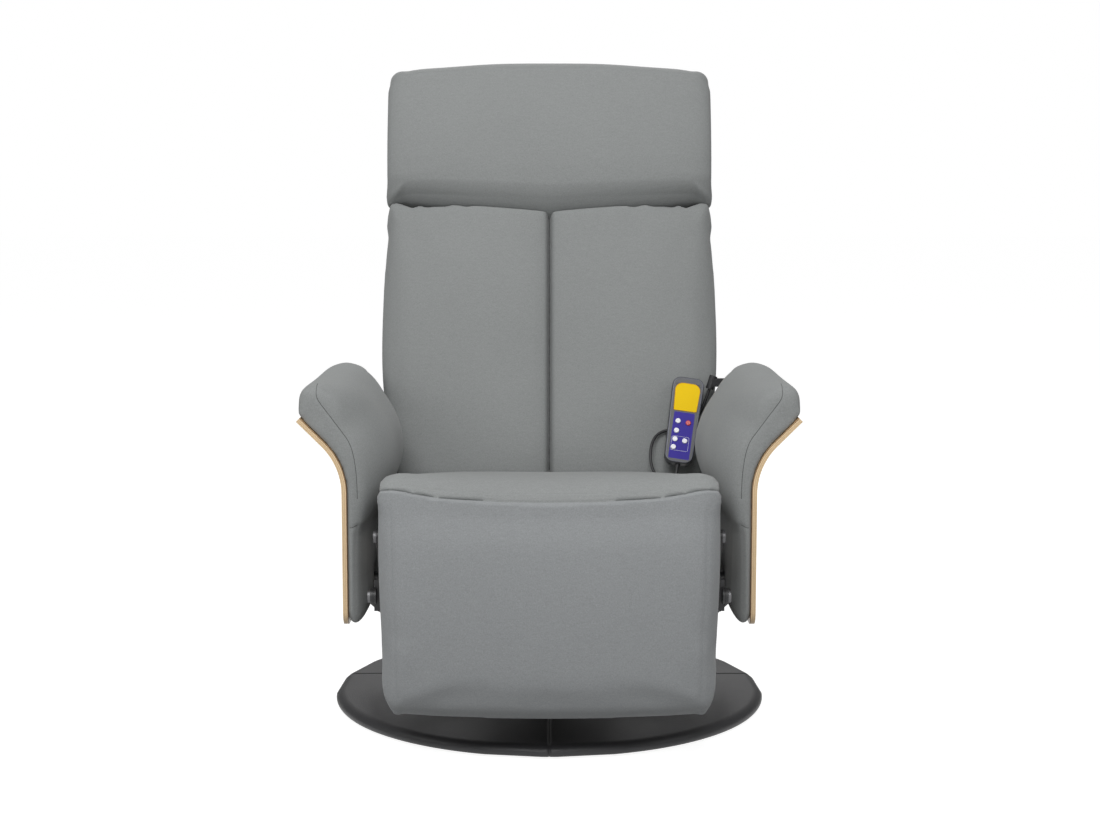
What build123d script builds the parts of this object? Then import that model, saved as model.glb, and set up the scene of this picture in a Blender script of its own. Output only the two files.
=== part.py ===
from build123d import *
import math
import os

os.makedirs("parts", exist_ok=True)

# Massage recliner on a round swivel base. Millimetres, +Z up, -Y is where the sitter looks.
# The origin is the centre of the base on the floor. Left and right are the sitter's own.

# General fits
RUNNING_CLEARANCE = 0.05
SOFT_CLEARANCE = 0.4
PLATE_CLEARANCE = 0.4
CUT_OVERRUN = 5.0
STEEL_THICKNESS = 4.0

# Round base
BASE_DIAMETER = 720.0
FELT_THICKNESS = 4.0
FELT_INSET = 14.0
BOARD_THICKNESS = 12.0
BASE_COVER_RIM = 9.0
BASE_SHOULDER_DROP = 5.0
BASE_RIM_BOW = 1.5
BASE_SHOULDER_WIDTH = 12.0
BASE_CROWN = 10.0
BASE_SEAM_WIDTH = 2.0
BASE_SEAM_DEPTH = 1.4
BASE_SEAM_ANGLES = (-90.0, 12.0, 90.0, 168.0)

# Column and swivel
FLANGE_RADIUS = 48.0
FLANGE_THICKNESS = 6.0
FLANGE_BOSS_RADIUS = 31.0
FLANGE_BOSS_HEIGHT = 30.0
BASE_BOLT_CIRCLE = 78.0
BASE_BOLT_RADIUS = 4.0
BASE_BOLT_HEAD_RADIUS = 6.5
BASE_BOLT_HEAD_HEIGHT = 5.0
BASE_BOLT_COUNT = 4
COLUMN_RADIUS = 25.0
COLUMN_TOP = 172.0
COLUMN_WALL = 3.0
THRUST_PAD_THICKNESS = 4.0
BUSH_WALL = 3.0
SLEEVE_WALL = 5.0
SLEEVE_LENGTH = 92.0
SWIVEL_PLATE_SIZE = 250.0
SWIVEL_PLATE_THICKNESS = 6.0

# Steel seat mechanism
SIDE_PLATE_X = 256.0
CROSS_TUBE_HEIGHT = 22.0
CROSS_TUBE_WIDTH = 40.0
CROSS_TUBE_WALL = 2.0
CROSS_TUBE_Y = 105.0
SIDE_FOOT_HALF_LENGTH = 150.0
SIDE_BAR_HEIGHT = 34.0
PIVOT_RADIUS = 6.0
PIVOT_HEAD_RADIUS = 10.0
PIVOT_HEAD_HEIGHT = 4.0
FOOT_PIVOT = (-290.0, 330.0)
RECLINE_PIVOT = (150.0, 330.0)

# Leg rest linkage: two links of one length fold down and back beside the seat
LINK_LENGTH = 165.0
LINK_HALF_WIDTH = 12.0
LEG_PIVOT = (-345.0, 250.0)
DRIVE_TUBE_RADIUS = 9.0
DRIVE_TUBE_SHARE = 0.42

# Seat
SEAT_SLOPE = 8.5
SEAT_FRONT_Y = -318.0
SEAT_FRONT_Z = 333.0
SEAT_REAR_Y = 92.0
SEAT_RAIL_HEIGHT = 34.0
SEAT_RAIL_WIDTH = 22.0
WEBBING_WIDTH = 60.0
WEBBING_THICKNESS = 2.0
WEBBING_COUNT = 4
SEAT_ROLL_HALF = 248.0
SEAT_BODY_HALF = 228.0
SEAT_NOSE_Y = -428.0
SEAT_CREST_Y = -368.0
SEAT_CREST_Z = 441.0
SEAT_REAR_TOP_Z = 352.0
SEAT_LENGTH_CROWN = 7.0
SEAT_NOSE_CROWN = 13.0
SEAT_LIP_Z = 392.0
SEAT_LIP_Y = -332.0
SEAT_SEAM_Z = 405.0
SEAT_NOTCH_Y = -272.0
SEAT_SIDE_DROP = 14.0
SEAM_RISE = 19.0
NOSE_DRAW = 11.0
SEAT_SCREW_SHARES = (0.3, 0.7)

# Leg rest cushion and board
LEG_HALF = 251.0
LEG_FRONT_Y = -430.0
LEG_DEPTH = 78.0
LEG_BOTTOM_Z = 78.0
LEG_CORNER = 14.0
LEG_SAG = 9.0
LEG_FOOT_HALF = 225.0
LEG_FOOT_BOW = 5.0
LEG_WAIST_HALF = 245.0
LEG_WAIST_Z = 165.0
LEG_CROWN = 10.0
LEG_BOARD_THICKNESS = 12.0
LEG_BOARD_HALF = 215.0
LEG_BOARD_MARGIN = 45.0
LEG_SEAM_CLEARANCE = 5.5
LEG_BOTTOM_CROWN = 16.0
LEG_SCREW_SHARES = (0.6, 0.9)

# Arms
ARM_FRONT_Y = -258.0
ARM_REAR_Y = 226.0
WOOD_THICKNESS = 8.0
WOOD_X = 321.0
WOOD_BOTTOM_Z = 188.0
WOOD_BEND_Z = 392.0
WOOD_BEND_RADIUS = 104.0
WOOD_FLARE_LENGTH = 54.0
WOOD_FLARE_ANGLE = 45.0
WOOD_CORNER = 34.0
ARM_TOP_Z = 560.0
ARM_TOP_X = 342.0
ARM_OUTER_X = 386.0
ARM_OUTER_Z = 535.0
ARM_SHOULDER_X = 280.0
ARM_SHOULDER_Z = 515.0
ARM_INNER_X = 246.0
ARM_INNER_Z = 425.0
ARM_STEM_X = 284.0
ARM_STEM_TOP_Z = 340.0
ARM_STEM_LOW_Z = 215.0
ARM_FOOT_X = 301.0
ARM_FOOT_Z = 169.0
ARM_NOSE_LENGTH = 95.0
ARM_NOSE_FIRST = 28.0
ARM_TIP_BOW = 2.5
ARM_TOP_BOW = 11.0
ARM_SWELL_BOW = 8.0
ARM_INNER_BOW = 5.0
ARM_STEM_BOW = 3.0
ARM_BAND_FLARE = 34.0
ARM_BAND_STEM = 21.0
ARM_BAND_TOP_Z = 556.0
ARM_REAR_DROP = 10.0
ARM_PASS_X = 299.0
ARM_PASS_START_Y = 40.0
ARM_PASS_END_Y = 152.0
ARM_CORE_THICKNESS = 12.0
ARM_CORE_BOTTOM_Z = 200.0
ARM_CORE_TOP_Z = 350.0
ARM_CORE_FRONT_Y = -215.0
ARM_CORE_REAR_Y = 96.0
ARM_SPACER_RADIUS = 14.0
ARM_BOLT_RADIUS = 4.0
ARM_SPACER_PLACES = ((-110.0, 225.0), (70.0, 225.0))

# Backrest, drawn upright about its foot and then leaned back
BACK_LEAN = 16.0
BACK_FOOT_Y = 196.0
BACK_FOOT_Z = 321.0
BACK_HEIGHT = 520.0
BACK_HALF = 285.0
BACK_DEPTH = 104.0
BACK_SIDE_DEPTH = 74.0
BACK_PANEL_CROWN = 13.0
BACK_SIDE_CROWN = 7.0
BACK_CHANNEL_HALF = 4.5
BACK_CHANNEL_DEPTH = 13.0
BACK_BOARD_THICKNESS = 12.0
BACK_COVER_THICKNESS = 20.0
BACK_COVER_CROWN = 8.0
BACK_HINGE_TOP = 150.0
BACK_HINGE_BAR = 40.0
BACK_HINGE_ROOM = 12.0
BACK_BOARD_BOTTOM = 20.0

# Headrest, in the same upright drawing as the backrest
HEAD_PIVOT_Y = -45.0
HEAD_PIVOT_Z = 556.0
HEAD_ROUND = 86.0
HEAD_HEIGHT = 219.0
HEAD_TILT = 30.0
HEAD_TOP_CROWN = 24.0
HEAD_SIDE_ROUND = 24.0
HEAD_HALF = 290.0
HEAD_TOP_FRONT_Y = -118.0
HEAD_REAR_Y = 18.0
HEAD_CROWN = 8.0
HEAD_TOP_ROUND = 74.0
HEAD_SEAM_RISE = 14.0
HEAD_CLEARANCE = 2.5
HEAD_LEAF_LENGTH = 110.0
HEAD_BOARD_THICKNESS = 10.0
HEAD_BOARD_HALF = 220.0
HEAD_HINGE_X = 120.0
HEAD_HINGE_WIDTH = 26.0

# Massage motors and control box
MOTOR_RADIUS = 26.0
MOTOR_HEIGHT = 22.0
BACK_MOTOR_PLACES = ((105.0, 150.0), (105.0, 370.0))
SEAT_MOTOR_X = 110.0
SEAT_MOTOR_ALONG = 250.0
LEG_MOTOR_SHARE = 0.49
BOX_LENGTH = 150.0
BOX_WIDTH = 90.0
BOX_HEIGHT = 34.0
BOX_WALL = 2.5
BOX_LID_THICKNESS = 3.0
CONTROL_BOARD_GAP = 3.0
TRANSFORMER_LENGTH = 46.0
TRANSFORMER_WIDTH = 40.0
INLET_RADIUS = 7.0
INLET_LENGTH = 12.0
INLET_BORE = 2.75

# Handset
HANDSET_WIDTH_TOP = 56.0
HANDSET_WIDTH_LOW = 49.0
HANDSET_LENGTH = 156.0
HANDSET_DEPTH = 21.0
HANDSET_SPLIT = 11.0
HANDSET_WALL = 2.0
HANDSET_CORNER = 15.0
HANDSET_RIM_ROUND = 3.0
HANDSET_PLACE = (221.0, 94.0, 383.0)
HANDSET_ROLL = 8.6
HANDSET_LEAN = 24.0
WINDOW_WIDTH = 42.0
WINDOW_LENGTH = 50.0
OVERLAY_WIDTH = 36.0
OVERLAY_LENGTH = 84.0
FACE_MARGIN = 7.0
FACE_THICKNESS = 1.2
BUTTON_PLACES = {
    "power": (8.5, 73.0),
    "mode": (-9.5, 74.5),
    "speed": (-10.0, 57.0),
    "upper": (-10.5, 41.5),
    "lower": (-11.5, 27.0),
    "timer": (6.5, 40.0),
}
BUTTON_RADIUS = 4.6
BUTTON_PROUD = 2.0
BUTTON_TRAVEL = 1.0
BUTTON_CLEARANCE = 0.15
HANDSET_BOARD_THICKNESS = 1.6

# Handset cord
CORD_DIAMETER = 5.0
RELIEF_LENGTH = 12.0
RELIEF_RADIUS = 4.5
RELIEF_X = 0.0
SOCKET_RADIUS = 7.0
SOCKET_LENGTH = 24.0
SOCKET_PLACE = (280.0, 148.5, 511.0)
CORD_BEND_SHARE = 0.45
CORD_EXIT_RUN = 8.6
CORD_ROUTE = (
    (210.0, 73.5, 361.6),
    (197.0, 74.0, 360.0),
    (184.5, 79.0, 366.0),
    (176.0, 88.0, 383.0),
    (174.5, 100.0, 405.0),
    (179.0, 112.0, 425.0),
    (192.0, 124.5, 438.0),
    (217.0, 129.5, 443.0),
    (240.0, 133.5, 449.0),
    (260.0, 141.0, 464.0),
    (272.0, 146.0, 487.0),
)

SIDES = (("left", 1), ("right", -1))


# Shapes that several pieces share

def block(x0, x1, y0, y1, z0, z1):
    """Box between two corners."""
    return Pos((x0 + x1) / 2, (y0 + y1) / 2, (z0 + z1) / 2) * Box(abs(x1 - x0), abs(y1 - y0), abs(z1 - z0))


def rod_x(x0, x1, y, z, radius):
    """Round bar along X."""
    return Pos((x0 + x1) / 2, y, z) * Rot(0, 90, 0) * Cylinder(radius, abs(x1 - x0))


def rod_y(x, y0, y1, z, radius):
    """Round bar along Y."""
    return Pos(x, (y0 + y1) / 2, z) * Rot(90, 0, 0) * Cylinder(radius, abs(y1 - y0))


def rod_z(x, y, z0, z1, radius):
    """Round bar along Z."""
    return Pos(x, y, (z0 + z1) / 2) * Cylinder(radius, abs(z1 - z0))


def bowed_face(plane, corners, bows):
    """Face whose sides run from corner to corner, anticlockwise, each bowed out by its own amount."""
    edges = []
    for index, corner in enumerate(corners):
        following = corners[(index + 1) % len(corners)]
        start = Vector(corner[0], corner[1])
        end = Vector(following[0], following[1])
        side = end - start
        bow = bows[index]
        if bow == 0:
            edge = Edge.make_line(plane.from_local_coords(start), plane.from_local_coords(end))
        else:
            outward = Vector(side.Y, -side.X).normalized()
            middle = (start + end) * 0.5 + outward * bow
            points = [plane.from_local_coords(point) for point in (start, middle, end)]
            edge = Edge.make_three_point_arc(*points)
        edges.append(edge)
    return Face(Wire(edges))


def plate_x(x0, x1, corners, bows=None):
    """Flat plate with an outline in Y and Z, between two planes of X."""
    face = bowed_face(Plane.YZ.offset(min(x0, x1)), corners, bows or [0] * len(corners))
    return extrude(face, abs(x1 - x0))


def link_x(x0, x1, start, end, half_width):
    """Bar with round ends from one pivot to another, both in Y and Z."""
    angle = math.degrees(math.atan2(end[1] - start[1], end[0] - start[0]))
    length = math.dist(start, end)
    middle = ((start[0] + end[0]) / 2, (start[1] + end[1]) / 2)
    bar = Pos((x0 + x1) / 2, *middle) * Rot(angle, 0, 0) * Box(abs(x1 - x0), length, 2 * half_width)
    return bar + rod_x(x0, x1, *start, half_width) + rod_x(x0, x1, *end, half_width)


def mirrored(shape):
    """The same piece on the other side of the chair."""
    return mirror(shape, Plane.YZ)


def on_side(shape, side):
    """A piece drawn on the sitter's left, put on either side."""
    return shape if side > 0 else mirrored(shape)


def lean(shape):
    """Put a piece drawn upright on the leaning backrest."""
    return Pos(0, BACK_FOOT_Y, BACK_FOOT_Z) * Rot(-BACK_LEAN, 0, 0) * shape


def slope(shape):
    """Put a piece drawn level on the seat, which falls towards the back."""
    return Pos(0, SEAT_FRONT_Y, SEAT_FRONT_Z) * Rot(-SEAT_SLOPE, 0, 0) * shape


def save(shape, node):
    """Write one piece."""
    export_step(shape, f"parts/{node}.step")


# Round base: board, padded cover in four sewn parts, felt pad

base_radius = BASE_DIAMETER / 2
board_radius = base_radius - BASE_COVER_RIM
board_top = FELT_THICKNESS + BOARD_THICKNESS
rim_top = board_top + BASE_SHOULDER_DROP
crown_top = rim_top + BASE_CROWN
hub_opening = FLANGE_RADIUS + CUT_OVERRUN

base_board = rod_z(0, 0, FELT_THICKNESS, board_top, board_radius)
for turn in range(BASE_BOLT_COUNT):
    angle = math.radians(360 / BASE_BOLT_COUNT * (turn + 0.5))
    bolt_x = BASE_BOLT_CIRCLE / 2 * math.cos(angle)
    bolt_y = BASE_BOLT_CIRCLE / 2 * math.sin(angle)
    base_board -= rod_z(bolt_x, bolt_y, FELT_THICKNESS, board_top, BASE_BOLT_RADIUS)
save(base_board, "base_board")

cover_corners = [
    (board_radius, FELT_THICKNESS),
    (base_radius - BASE_RIM_BOW, FELT_THICKNESS),
    (base_radius - BASE_RIM_BOW, board_top - BASE_SHOULDER_DROP),
    (base_radius - BASE_SHOULDER_WIDTH, rim_top),
    (hub_opening, crown_top),
    (hub_opening, board_top),
    (board_radius, board_top),
]
cover_bows = [0, BASE_RIM_BOW, BASE_SHOULDER_DROP / 2, BASE_CROWN / 4, 0, 0, 0]
base_cover = revolve(bowed_face(Plane.XZ, cover_corners, cover_bows), Axis.Z)
for seam_angle in BASE_SEAM_ANGLES:
    across = block(hub_opening, base_radius + CUT_OVERRUN, -BASE_SEAM_WIDTH / 2, BASE_SEAM_WIDTH / 2,
                   board_top, crown_top + CUT_OVERRUN)
    keep = Pos(0, 0, -BASE_SEAM_DEPTH) * revolve(bowed_face(Plane.XZ, cover_corners, cover_bows), Axis.Z)
    base_cover -= (Rot(0, 0, seam_angle) * across) - keep
save(base_cover, "base_cover")

save(rod_z(0, 0, 0, FELT_THICKNESS, board_radius - FELT_INSET), "base_felt_pad")

# Steel hub: flange bolted to the board, column, thrust pad

flange_top = board_top + FLANGE_THICKNESS
flange = rod_z(0, 0, board_top, flange_top, FLANGE_RADIUS)
flange += rod_z(0, 0, flange_top, flange_top + FLANGE_BOSS_HEIGHT, FLANGE_BOSS_RADIUS)
flange -= rod_z(0, 0, board_top, flange_top + FLANGE_BOSS_HEIGHT, COLUMN_RADIUS)
base_bolts = []
for turn in range(BASE_BOLT_COUNT):
    angle = math.radians(360 / BASE_BOLT_COUNT * (turn + 0.5))
    bolt_x = BASE_BOLT_CIRCLE / 2 * math.cos(angle)
    bolt_y = BASE_BOLT_CIRCLE / 2 * math.sin(angle)
    flange -= rod_z(bolt_x, bolt_y, board_top, flange_top, BASE_BOLT_RADIUS)
    shank = rod_z(bolt_x, bolt_y, FELT_THICKNESS, flange_top, BASE_BOLT_RADIUS)
    head = Pos(bolt_x, bolt_y, flange_top) * extrude(RegularPolygon(BASE_BOLT_HEAD_RADIUS, 6), BASE_BOLT_HEAD_HEIGHT)
    base_bolts.append(shank + head)
save(flange, "base_flange")
save(Compound(base_bolts), "base_bolts")

column = rod_z(0, 0, board_top, COLUMN_TOP, COLUMN_RADIUS)
column -= rod_z(0, 0, board_top, COLUMN_TOP, COLUMN_RADIUS - COLUMN_WALL)
save(column, "base_column")
swivel_z = COLUMN_TOP + THRUST_PAD_THICKNESS
thrust_pad = rod_z(0, 0, COLUMN_TOP, swivel_z, COLUMN_RADIUS - COLUMN_WALL / 2)
thrust_pad += rod_z(0, 0, COLUMN_TOP - THRUST_PAD_THICKNESS, COLUMN_TOP, COLUMN_RADIUS - COLUMN_WALL)
save(thrust_pad, "swivel_thrust_pad")

# Swivel sleeve and its bush turn on the column under the swivel plate

bush_inner = COLUMN_RADIUS + RUNNING_CLEARANCE
bush_outer = COLUMN_RADIUS + BUSH_WALL
sleeve_low = swivel_z - SLEEVE_LENGTH
bush = rod_z(0, 0, sleeve_low, swivel_z, bush_outer) - rod_z(0, 0, sleeve_low, swivel_z, bush_inner)
save(bush, "swivel_bush")
sleeve = rod_z(0, 0, sleeve_low, swivel_z, bush_outer + SLEEVE_WALL) - rod_z(0, 0, sleeve_low, swivel_z, bush_outer)
plate_top = swivel_z + SWIVEL_PLATE_THICKNESS
half_plate = SWIVEL_PLATE_SIZE / 2
swivel_plate = block(-half_plate, half_plate, -half_plate, half_plate, swivel_z, plate_top)
swivel_plate = fillet(swivel_plate.edges().filter_by(Axis.Z), CROSS_TUBE_WIDTH / 2)
save(swivel_plate + sleeve, "swivel_plate")

# Cross tubes and steel side plates

tube_top = plate_top + CROSS_TUBE_HEIGHT
cross_tubes = []
for centre_y in (-CROSS_TUBE_Y, CROSS_TUBE_Y):
    low_y = centre_y - CROSS_TUBE_WIDTH / 2
    high_y = centre_y + CROSS_TUBE_WIDTH / 2
    tube = block(-SIDE_PLATE_X, SIDE_PLATE_X, low_y, high_y, plate_top, tube_top)
    tube -= block(-SIDE_PLATE_X, SIDE_PLATE_X, low_y + CROSS_TUBE_WALL, high_y - CROSS_TUBE_WALL,
                  plate_top + CROSS_TUBE_WALL, tube_top - CROSS_TUBE_WALL)
    cross_tubes.append(tube)
save(Compound(cross_tubes), "seat_cross_tubes")

plate_out = SIDE_PLATE_X + STEEL_THICKNESS
bar_half = SIDE_BAR_HEIGHT / 2
side_outline = [
    (-SIDE_FOOT_HALF_LENGTH, plate_top),
    (SIDE_FOOT_HALF_LENGTH, plate_top),
    (RECLINE_PIVOT[0], RECLINE_PIVOT[1] - bar_half),
    (RECLINE_PIVOT[0], RECLINE_PIVOT[1] + bar_half),
    (FOOT_PIVOT[0], FOOT_PIVOT[1] + bar_half),
    (FOOT_PIVOT[0], FOOT_PIVOT[1] - bar_half),
    (-SIDE_FOOT_HALF_LENGTH - SIDE_BAR_HEIGHT, FOOT_PIVOT[1] - bar_half),
]
side_plate = plate_x(SIDE_PLATE_X, plate_out, side_outline)
side_plate += rod_x(SIDE_PLATE_X, plate_out, *RECLINE_PIVOT, bar_half)
side_plate += rod_x(SIDE_PLATE_X, plate_out, *FOOT_PIVOT, bar_half)
for pivot in (RECLINE_PIVOT, FOOT_PIVOT):
    side_plate -= rod_x(SIDE_PLATE_X, plate_out, *pivot, PIVOT_RADIUS)
for place in ARM_SPACER_PLACES:
    side_plate -= rod_x(SIDE_PLATE_X, plate_out, *place, ARM_BOLT_RADIUS)

# Seat frame: wooden rails with elastic webbing, screwed between the side plates

seat_length = (SEAT_REAR_Y - SEAT_FRONT_Y) / math.cos(math.radians(SEAT_SLOPE))
rail_in = SIDE_PLATE_X - SEAT_RAIL_WIDTH
side_rail = slope(block(rail_in, SIDE_PLATE_X, 0, seat_length, -SEAT_RAIL_HEIGHT, 0))
end_rail_front = slope(block(-rail_in, rail_in, 0, SEAT_RAIL_WIDTH, -SEAT_RAIL_HEIGHT, 0))
end_rail_rear = slope(block(-rail_in, rail_in, seat_length - SEAT_RAIL_WIDTH, seat_length, -SEAT_RAIL_HEIGHT, 0))
webbing = []
webbing_pitch = 2 * rail_in / WEBBING_COUNT
for index in range(WEBBING_COUNT):
    middle_x = -rail_in + webbing_pitch * (index + 0.5)
    webbing.append(slope(block(middle_x - WEBBING_WIDTH / 2, middle_x + WEBBING_WIDTH / 2,
                               0, seat_length, 0, WEBBING_THICKNESS)))
save(Compound(webbing), "seat_webbing")

screw_along = [seat_length * share for share in SEAT_SCREW_SHARES]
seat_screws = []
for along in screw_along:
    screw_y = SEAT_FRONT_Y + along * math.cos(math.radians(SEAT_SLOPE))
    screw_z = SEAT_FRONT_Z - along * math.sin(math.radians(SEAT_SLOPE)) - SEAT_RAIL_HEIGHT / 2
    shank_end = rail_in + STEEL_THICKNESS
    shank = rod_x(shank_end, plate_out, screw_y, screw_z, ARM_BOLT_RADIUS / 2)
    head = rod_x(plate_out, plate_out + ARM_BOLT_RADIUS / 2, screw_y, screw_z, ARM_BOLT_RADIUS)
    hole = rod_x(shank_end, plate_out, screw_y, screw_z, ARM_BOLT_RADIUS / 2)
    side_plate -= hole
    side_rail -= hole
    seat_screws += [shank + head, mirrored(shank + head)]
save(Compound([side_rail, mirrored(side_rail), end_rail_front, end_rail_rear]), "seat_rails")

# Leg rest linkage, drawn folded: drive link down and back, follower link forward to the leg rest

drive_x0 = plate_out + PLATE_CLEARANCE
drive_x1 = drive_x0 + STEEL_THICKNESS
follower_x0 = drive_x1 + PLATE_CLEARANCE
follower_x1 = follower_x0 + STEEL_THICKNESS
pivot_bore = PIVOT_RADIUS + RUNNING_CLEARANCE

reach = math.dist(FOOT_PIVOT, LEG_PIVOT)
knee_offset = math.sqrt(LINK_LENGTH ** 2 - (reach / 2) ** 2)
toward_y = (LEG_PIVOT[0] - FOOT_PIVOT[0]) / reach
toward_z = (LEG_PIVOT[1] - FOOT_PIVOT[1]) / reach
knee_y = (FOOT_PIVOT[0] + LEG_PIVOT[0]) / 2 - toward_z * knee_offset
knee_z = (FOOT_PIVOT[1] + LEG_PIVOT[1]) / 2 + toward_y * knee_offset
knee_pivot = (knee_y, knee_z)
print("knee pivot", [round(value, 3) for value in knee_pivot])

drive_link = link_x(drive_x0, drive_x1, FOOT_PIVOT, knee_pivot, LINK_HALF_WIDTH)
drive_link -= rod_x(drive_x0, drive_x1, *FOOT_PIVOT, pivot_bore)
drive_link -= rod_x(drive_x0, drive_x1, *knee_pivot, pivot_bore)
follower_link = link_x(follower_x0, follower_x1, knee_pivot, LEG_PIVOT, LINK_HALF_WIDTH)
follower_link -= rod_x(follower_x0, follower_x1, *knee_pivot, PIVOT_RADIUS)
follower_link -= rod_x(follower_x0, follower_x1, *LEG_PIVOT, pivot_bore)
save(Compound([drive_link, mirrored(drive_link)]), "leg_drive_links")
save(Compound([follower_link, mirrored(follower_link)]), "leg_follower_links")

tube_y = FOOT_PIVOT[0] + DRIVE_TUBE_SHARE * (knee_pivot[0] - FOOT_PIVOT[0])
tube_z = FOOT_PIVOT[1] + DRIVE_TUBE_SHARE * (knee_pivot[1] - FOOT_PIVOT[1])
drive_tube = rod_x(-drive_x0, drive_x0, tube_y, tube_z, DRIVE_TUBE_RADIUS)
drive_tube -= rod_x(-drive_x0, drive_x0, tube_y, tube_z, DRIVE_TUBE_RADIUS - CROSS_TUBE_WALL)
save(drive_tube, "leg_drive_tube")

foot_pin = rod_x(SIDE_PLATE_X, drive_x1 + PLATE_CLEARANCE, *FOOT_PIVOT, PIVOT_RADIUS)
foot_pin += rod_x(drive_x1 + PLATE_CLEARANCE, drive_x1 + PLATE_CLEARANCE + PIVOT_HEAD_HEIGHT, *FOOT_PIVOT,
                  PIVOT_HEAD_RADIUS)

knee_inner = drive_x0 - PLATE_CLEARANCE
knee_pin = rod_x(knee_inner, follower_x1, *knee_pivot, PIVOT_RADIUS)
knee_pin += rod_x(knee_inner - PIVOT_HEAD_HEIGHT, knee_inner, *knee_pivot, PIVOT_HEAD_RADIUS)
knee_pin += rod_x(follower_x1, follower_x1 + PIVOT_HEAD_HEIGHT, *knee_pivot, PIVOT_HEAD_RADIUS)
save(Compound([knee_pin, mirrored(knee_pin)]), "knee_pivot_pins")

leg_outer = follower_x1 + PLATE_CLEARANCE
leg_pin = rod_x(drive_x0, leg_outer, *LEG_PIVOT, PIVOT_RADIUS)
leg_pin += rod_x(leg_outer, leg_outer + PIVOT_HEAD_HEIGHT, *LEG_PIVOT, PIVOT_HEAD_RADIUS)
save(Compound([leg_pin, mirrored(leg_pin)]), "leg_pivot_pins")

# Leg rest: board, brackets and one deep padded cushion that hangs in front of the seat

leg_back_y = LEG_FRONT_Y + LEG_DEPTH
leg_board_front = leg_back_y
leg_board_back = leg_back_y + LEG_BOARD_THICKNESS
leg_board = block(-LEG_BOARD_HALF, LEG_BOARD_HALF, leg_board_front, leg_board_back,
                  LEG_BOTTOM_Z + LEG_BOARD_MARGIN, SEAT_LIP_Z - LEG_BOARD_MARGIN)
leg_board = fillet(leg_board.edges().filter_by(Axis.Y), LEG_BOARD_MARGIN / 2)

ear = rod_x(drive_x0, drive_x1, *LEG_PIVOT, LINK_HALF_WIDTH)
ear -= rod_x(drive_x0, drive_x1, *LEG_PIVOT, PIVOT_RADIUS)
bracket_low = LEG_PIVOT[1] - 2 * LINK_HALF_WIDTH
bracket_high = LEG_PIVOT[1] + 2 * LINK_HALF_WIDTH
bracket = block(LEG_BOARD_HALF / 2, drive_x1, leg_board_back, leg_board_back + STEEL_THICKNESS,
                bracket_low, bracket_high)
bracket -= rod_x(drive_x0, drive_x1, *LEG_PIVOT, PIVOT_RADIUS)
bracket += ear
screw_places = [LEG_BOARD_HALF * share for share in LEG_SCREW_SHARES]
leg_screws = []
for screw_x in screw_places:
    shank_low = leg_board_back - LEG_BOARD_THICKNESS / 2
    shank_high = leg_board_back + STEEL_THICKNESS
    hole = rod_y(screw_x, shank_low, shank_high, LEG_PIVOT[1], ARM_BOLT_RADIUS / 2)
    head = rod_y(screw_x, shank_high, shank_high + ARM_BOLT_RADIUS / 2, LEG_PIVOT[1], ARM_BOLT_RADIUS)
    bracket -= hole
    leg_board -= hole
    leg_board -= mirrored(hole)
    leg_screws += [hole + head, mirrored(hole + head)]
save(Compound([bracket, mirrored(bracket)]), "leg_rest_brackets")
save(leg_board, "leg_rest_board")
save(Compound(leg_screws), "leg_rest_screws")

# Seat and leg rest cushions share one seam line and one set of stations across the chair.
# Each station: share of the half width, and shares of the crest drop, seam rise and nose draw.
STATION_SHARES = (
    (0.0, 0.0, 0.0, 0.0),
    (0.45, 0.02, 0.2, 0.04),
    (0.78, 0.1, 0.7, 0.12),
    (0.92, 0.3, 1.0, 0.32),
    (1.0, 1.0, 0.75, 1.0),
)
across_shares = [(-share, *rest) for share, *rest in reversed(STATION_SHARES[1:])] + list(STATION_SHARES)


def seat_point(along, up):
    """Y and Z of a point measured along and above the sloping seat frame."""
    slope_cos = math.cos(math.radians(SEAT_SLOPE))
    slope_sin = math.sin(math.radians(SEAT_SLOPE))
    return (SEAT_FRONT_Y + along * slope_cos + up * slope_sin, SEAT_FRONT_Z - along * slope_sin + up * slope_cos)


seat_sections = []
for share, drop, rise, draw in across_shares:
    outline = [
        (SEAT_NOSE_Y + NOSE_DRAW * draw, SEAT_SEAM_Z + SEAM_RISE * rise),
        (SEAT_LIP_Y, SEAT_LIP_Z),
        seat_point(0, WEBBING_THICKNESS),
        seat_point(seat_length, WEBBING_THICKNESS),
        (SEAT_REAR_Y, SEAT_REAR_TOP_Z - SEAT_SIDE_DROP * drop),
        (SEAT_CREST_Y, SEAT_CREST_Z - SEAT_SIDE_DROP * drop),
    ]
    bows = [0, 0, 0, 0, SEAT_LENGTH_CROWN, SEAT_NOSE_CROWN]
    seat_sections.append(bowed_face(Plane.YZ.offset(SEAT_ROLL_HALF * share), outline, bows))
seat_cushion = loft(seat_sections)
notch = block(SEAT_BODY_HALF, SEAT_ROLL_HALF + CUT_OVERRUN, SEAT_NOTCH_Y, SEAT_REAR_Y + CUT_OVERRUN,
              LEG_BOTTOM_Z, SEAT_CREST_Z + CUT_OVERRUN)
seat_cushion -= notch
seat_cushion -= mirrored(notch)

seat_motors = []
motor = slope(Pos(SEAT_MOTOR_X, SEAT_MOTOR_ALONG, WEBBING_THICKNESS + MOTOR_HEIGHT / 2)
              * Cylinder(MOTOR_RADIUS, MOTOR_HEIGHT))
for piece in (motor, mirrored(motor)):
    seat_cushion -= piece
    seat_motors.append(piece)
save(seat_cushion, "seat_cushion")
save(Compound(seat_motors), "seat_massage_motors")

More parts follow.
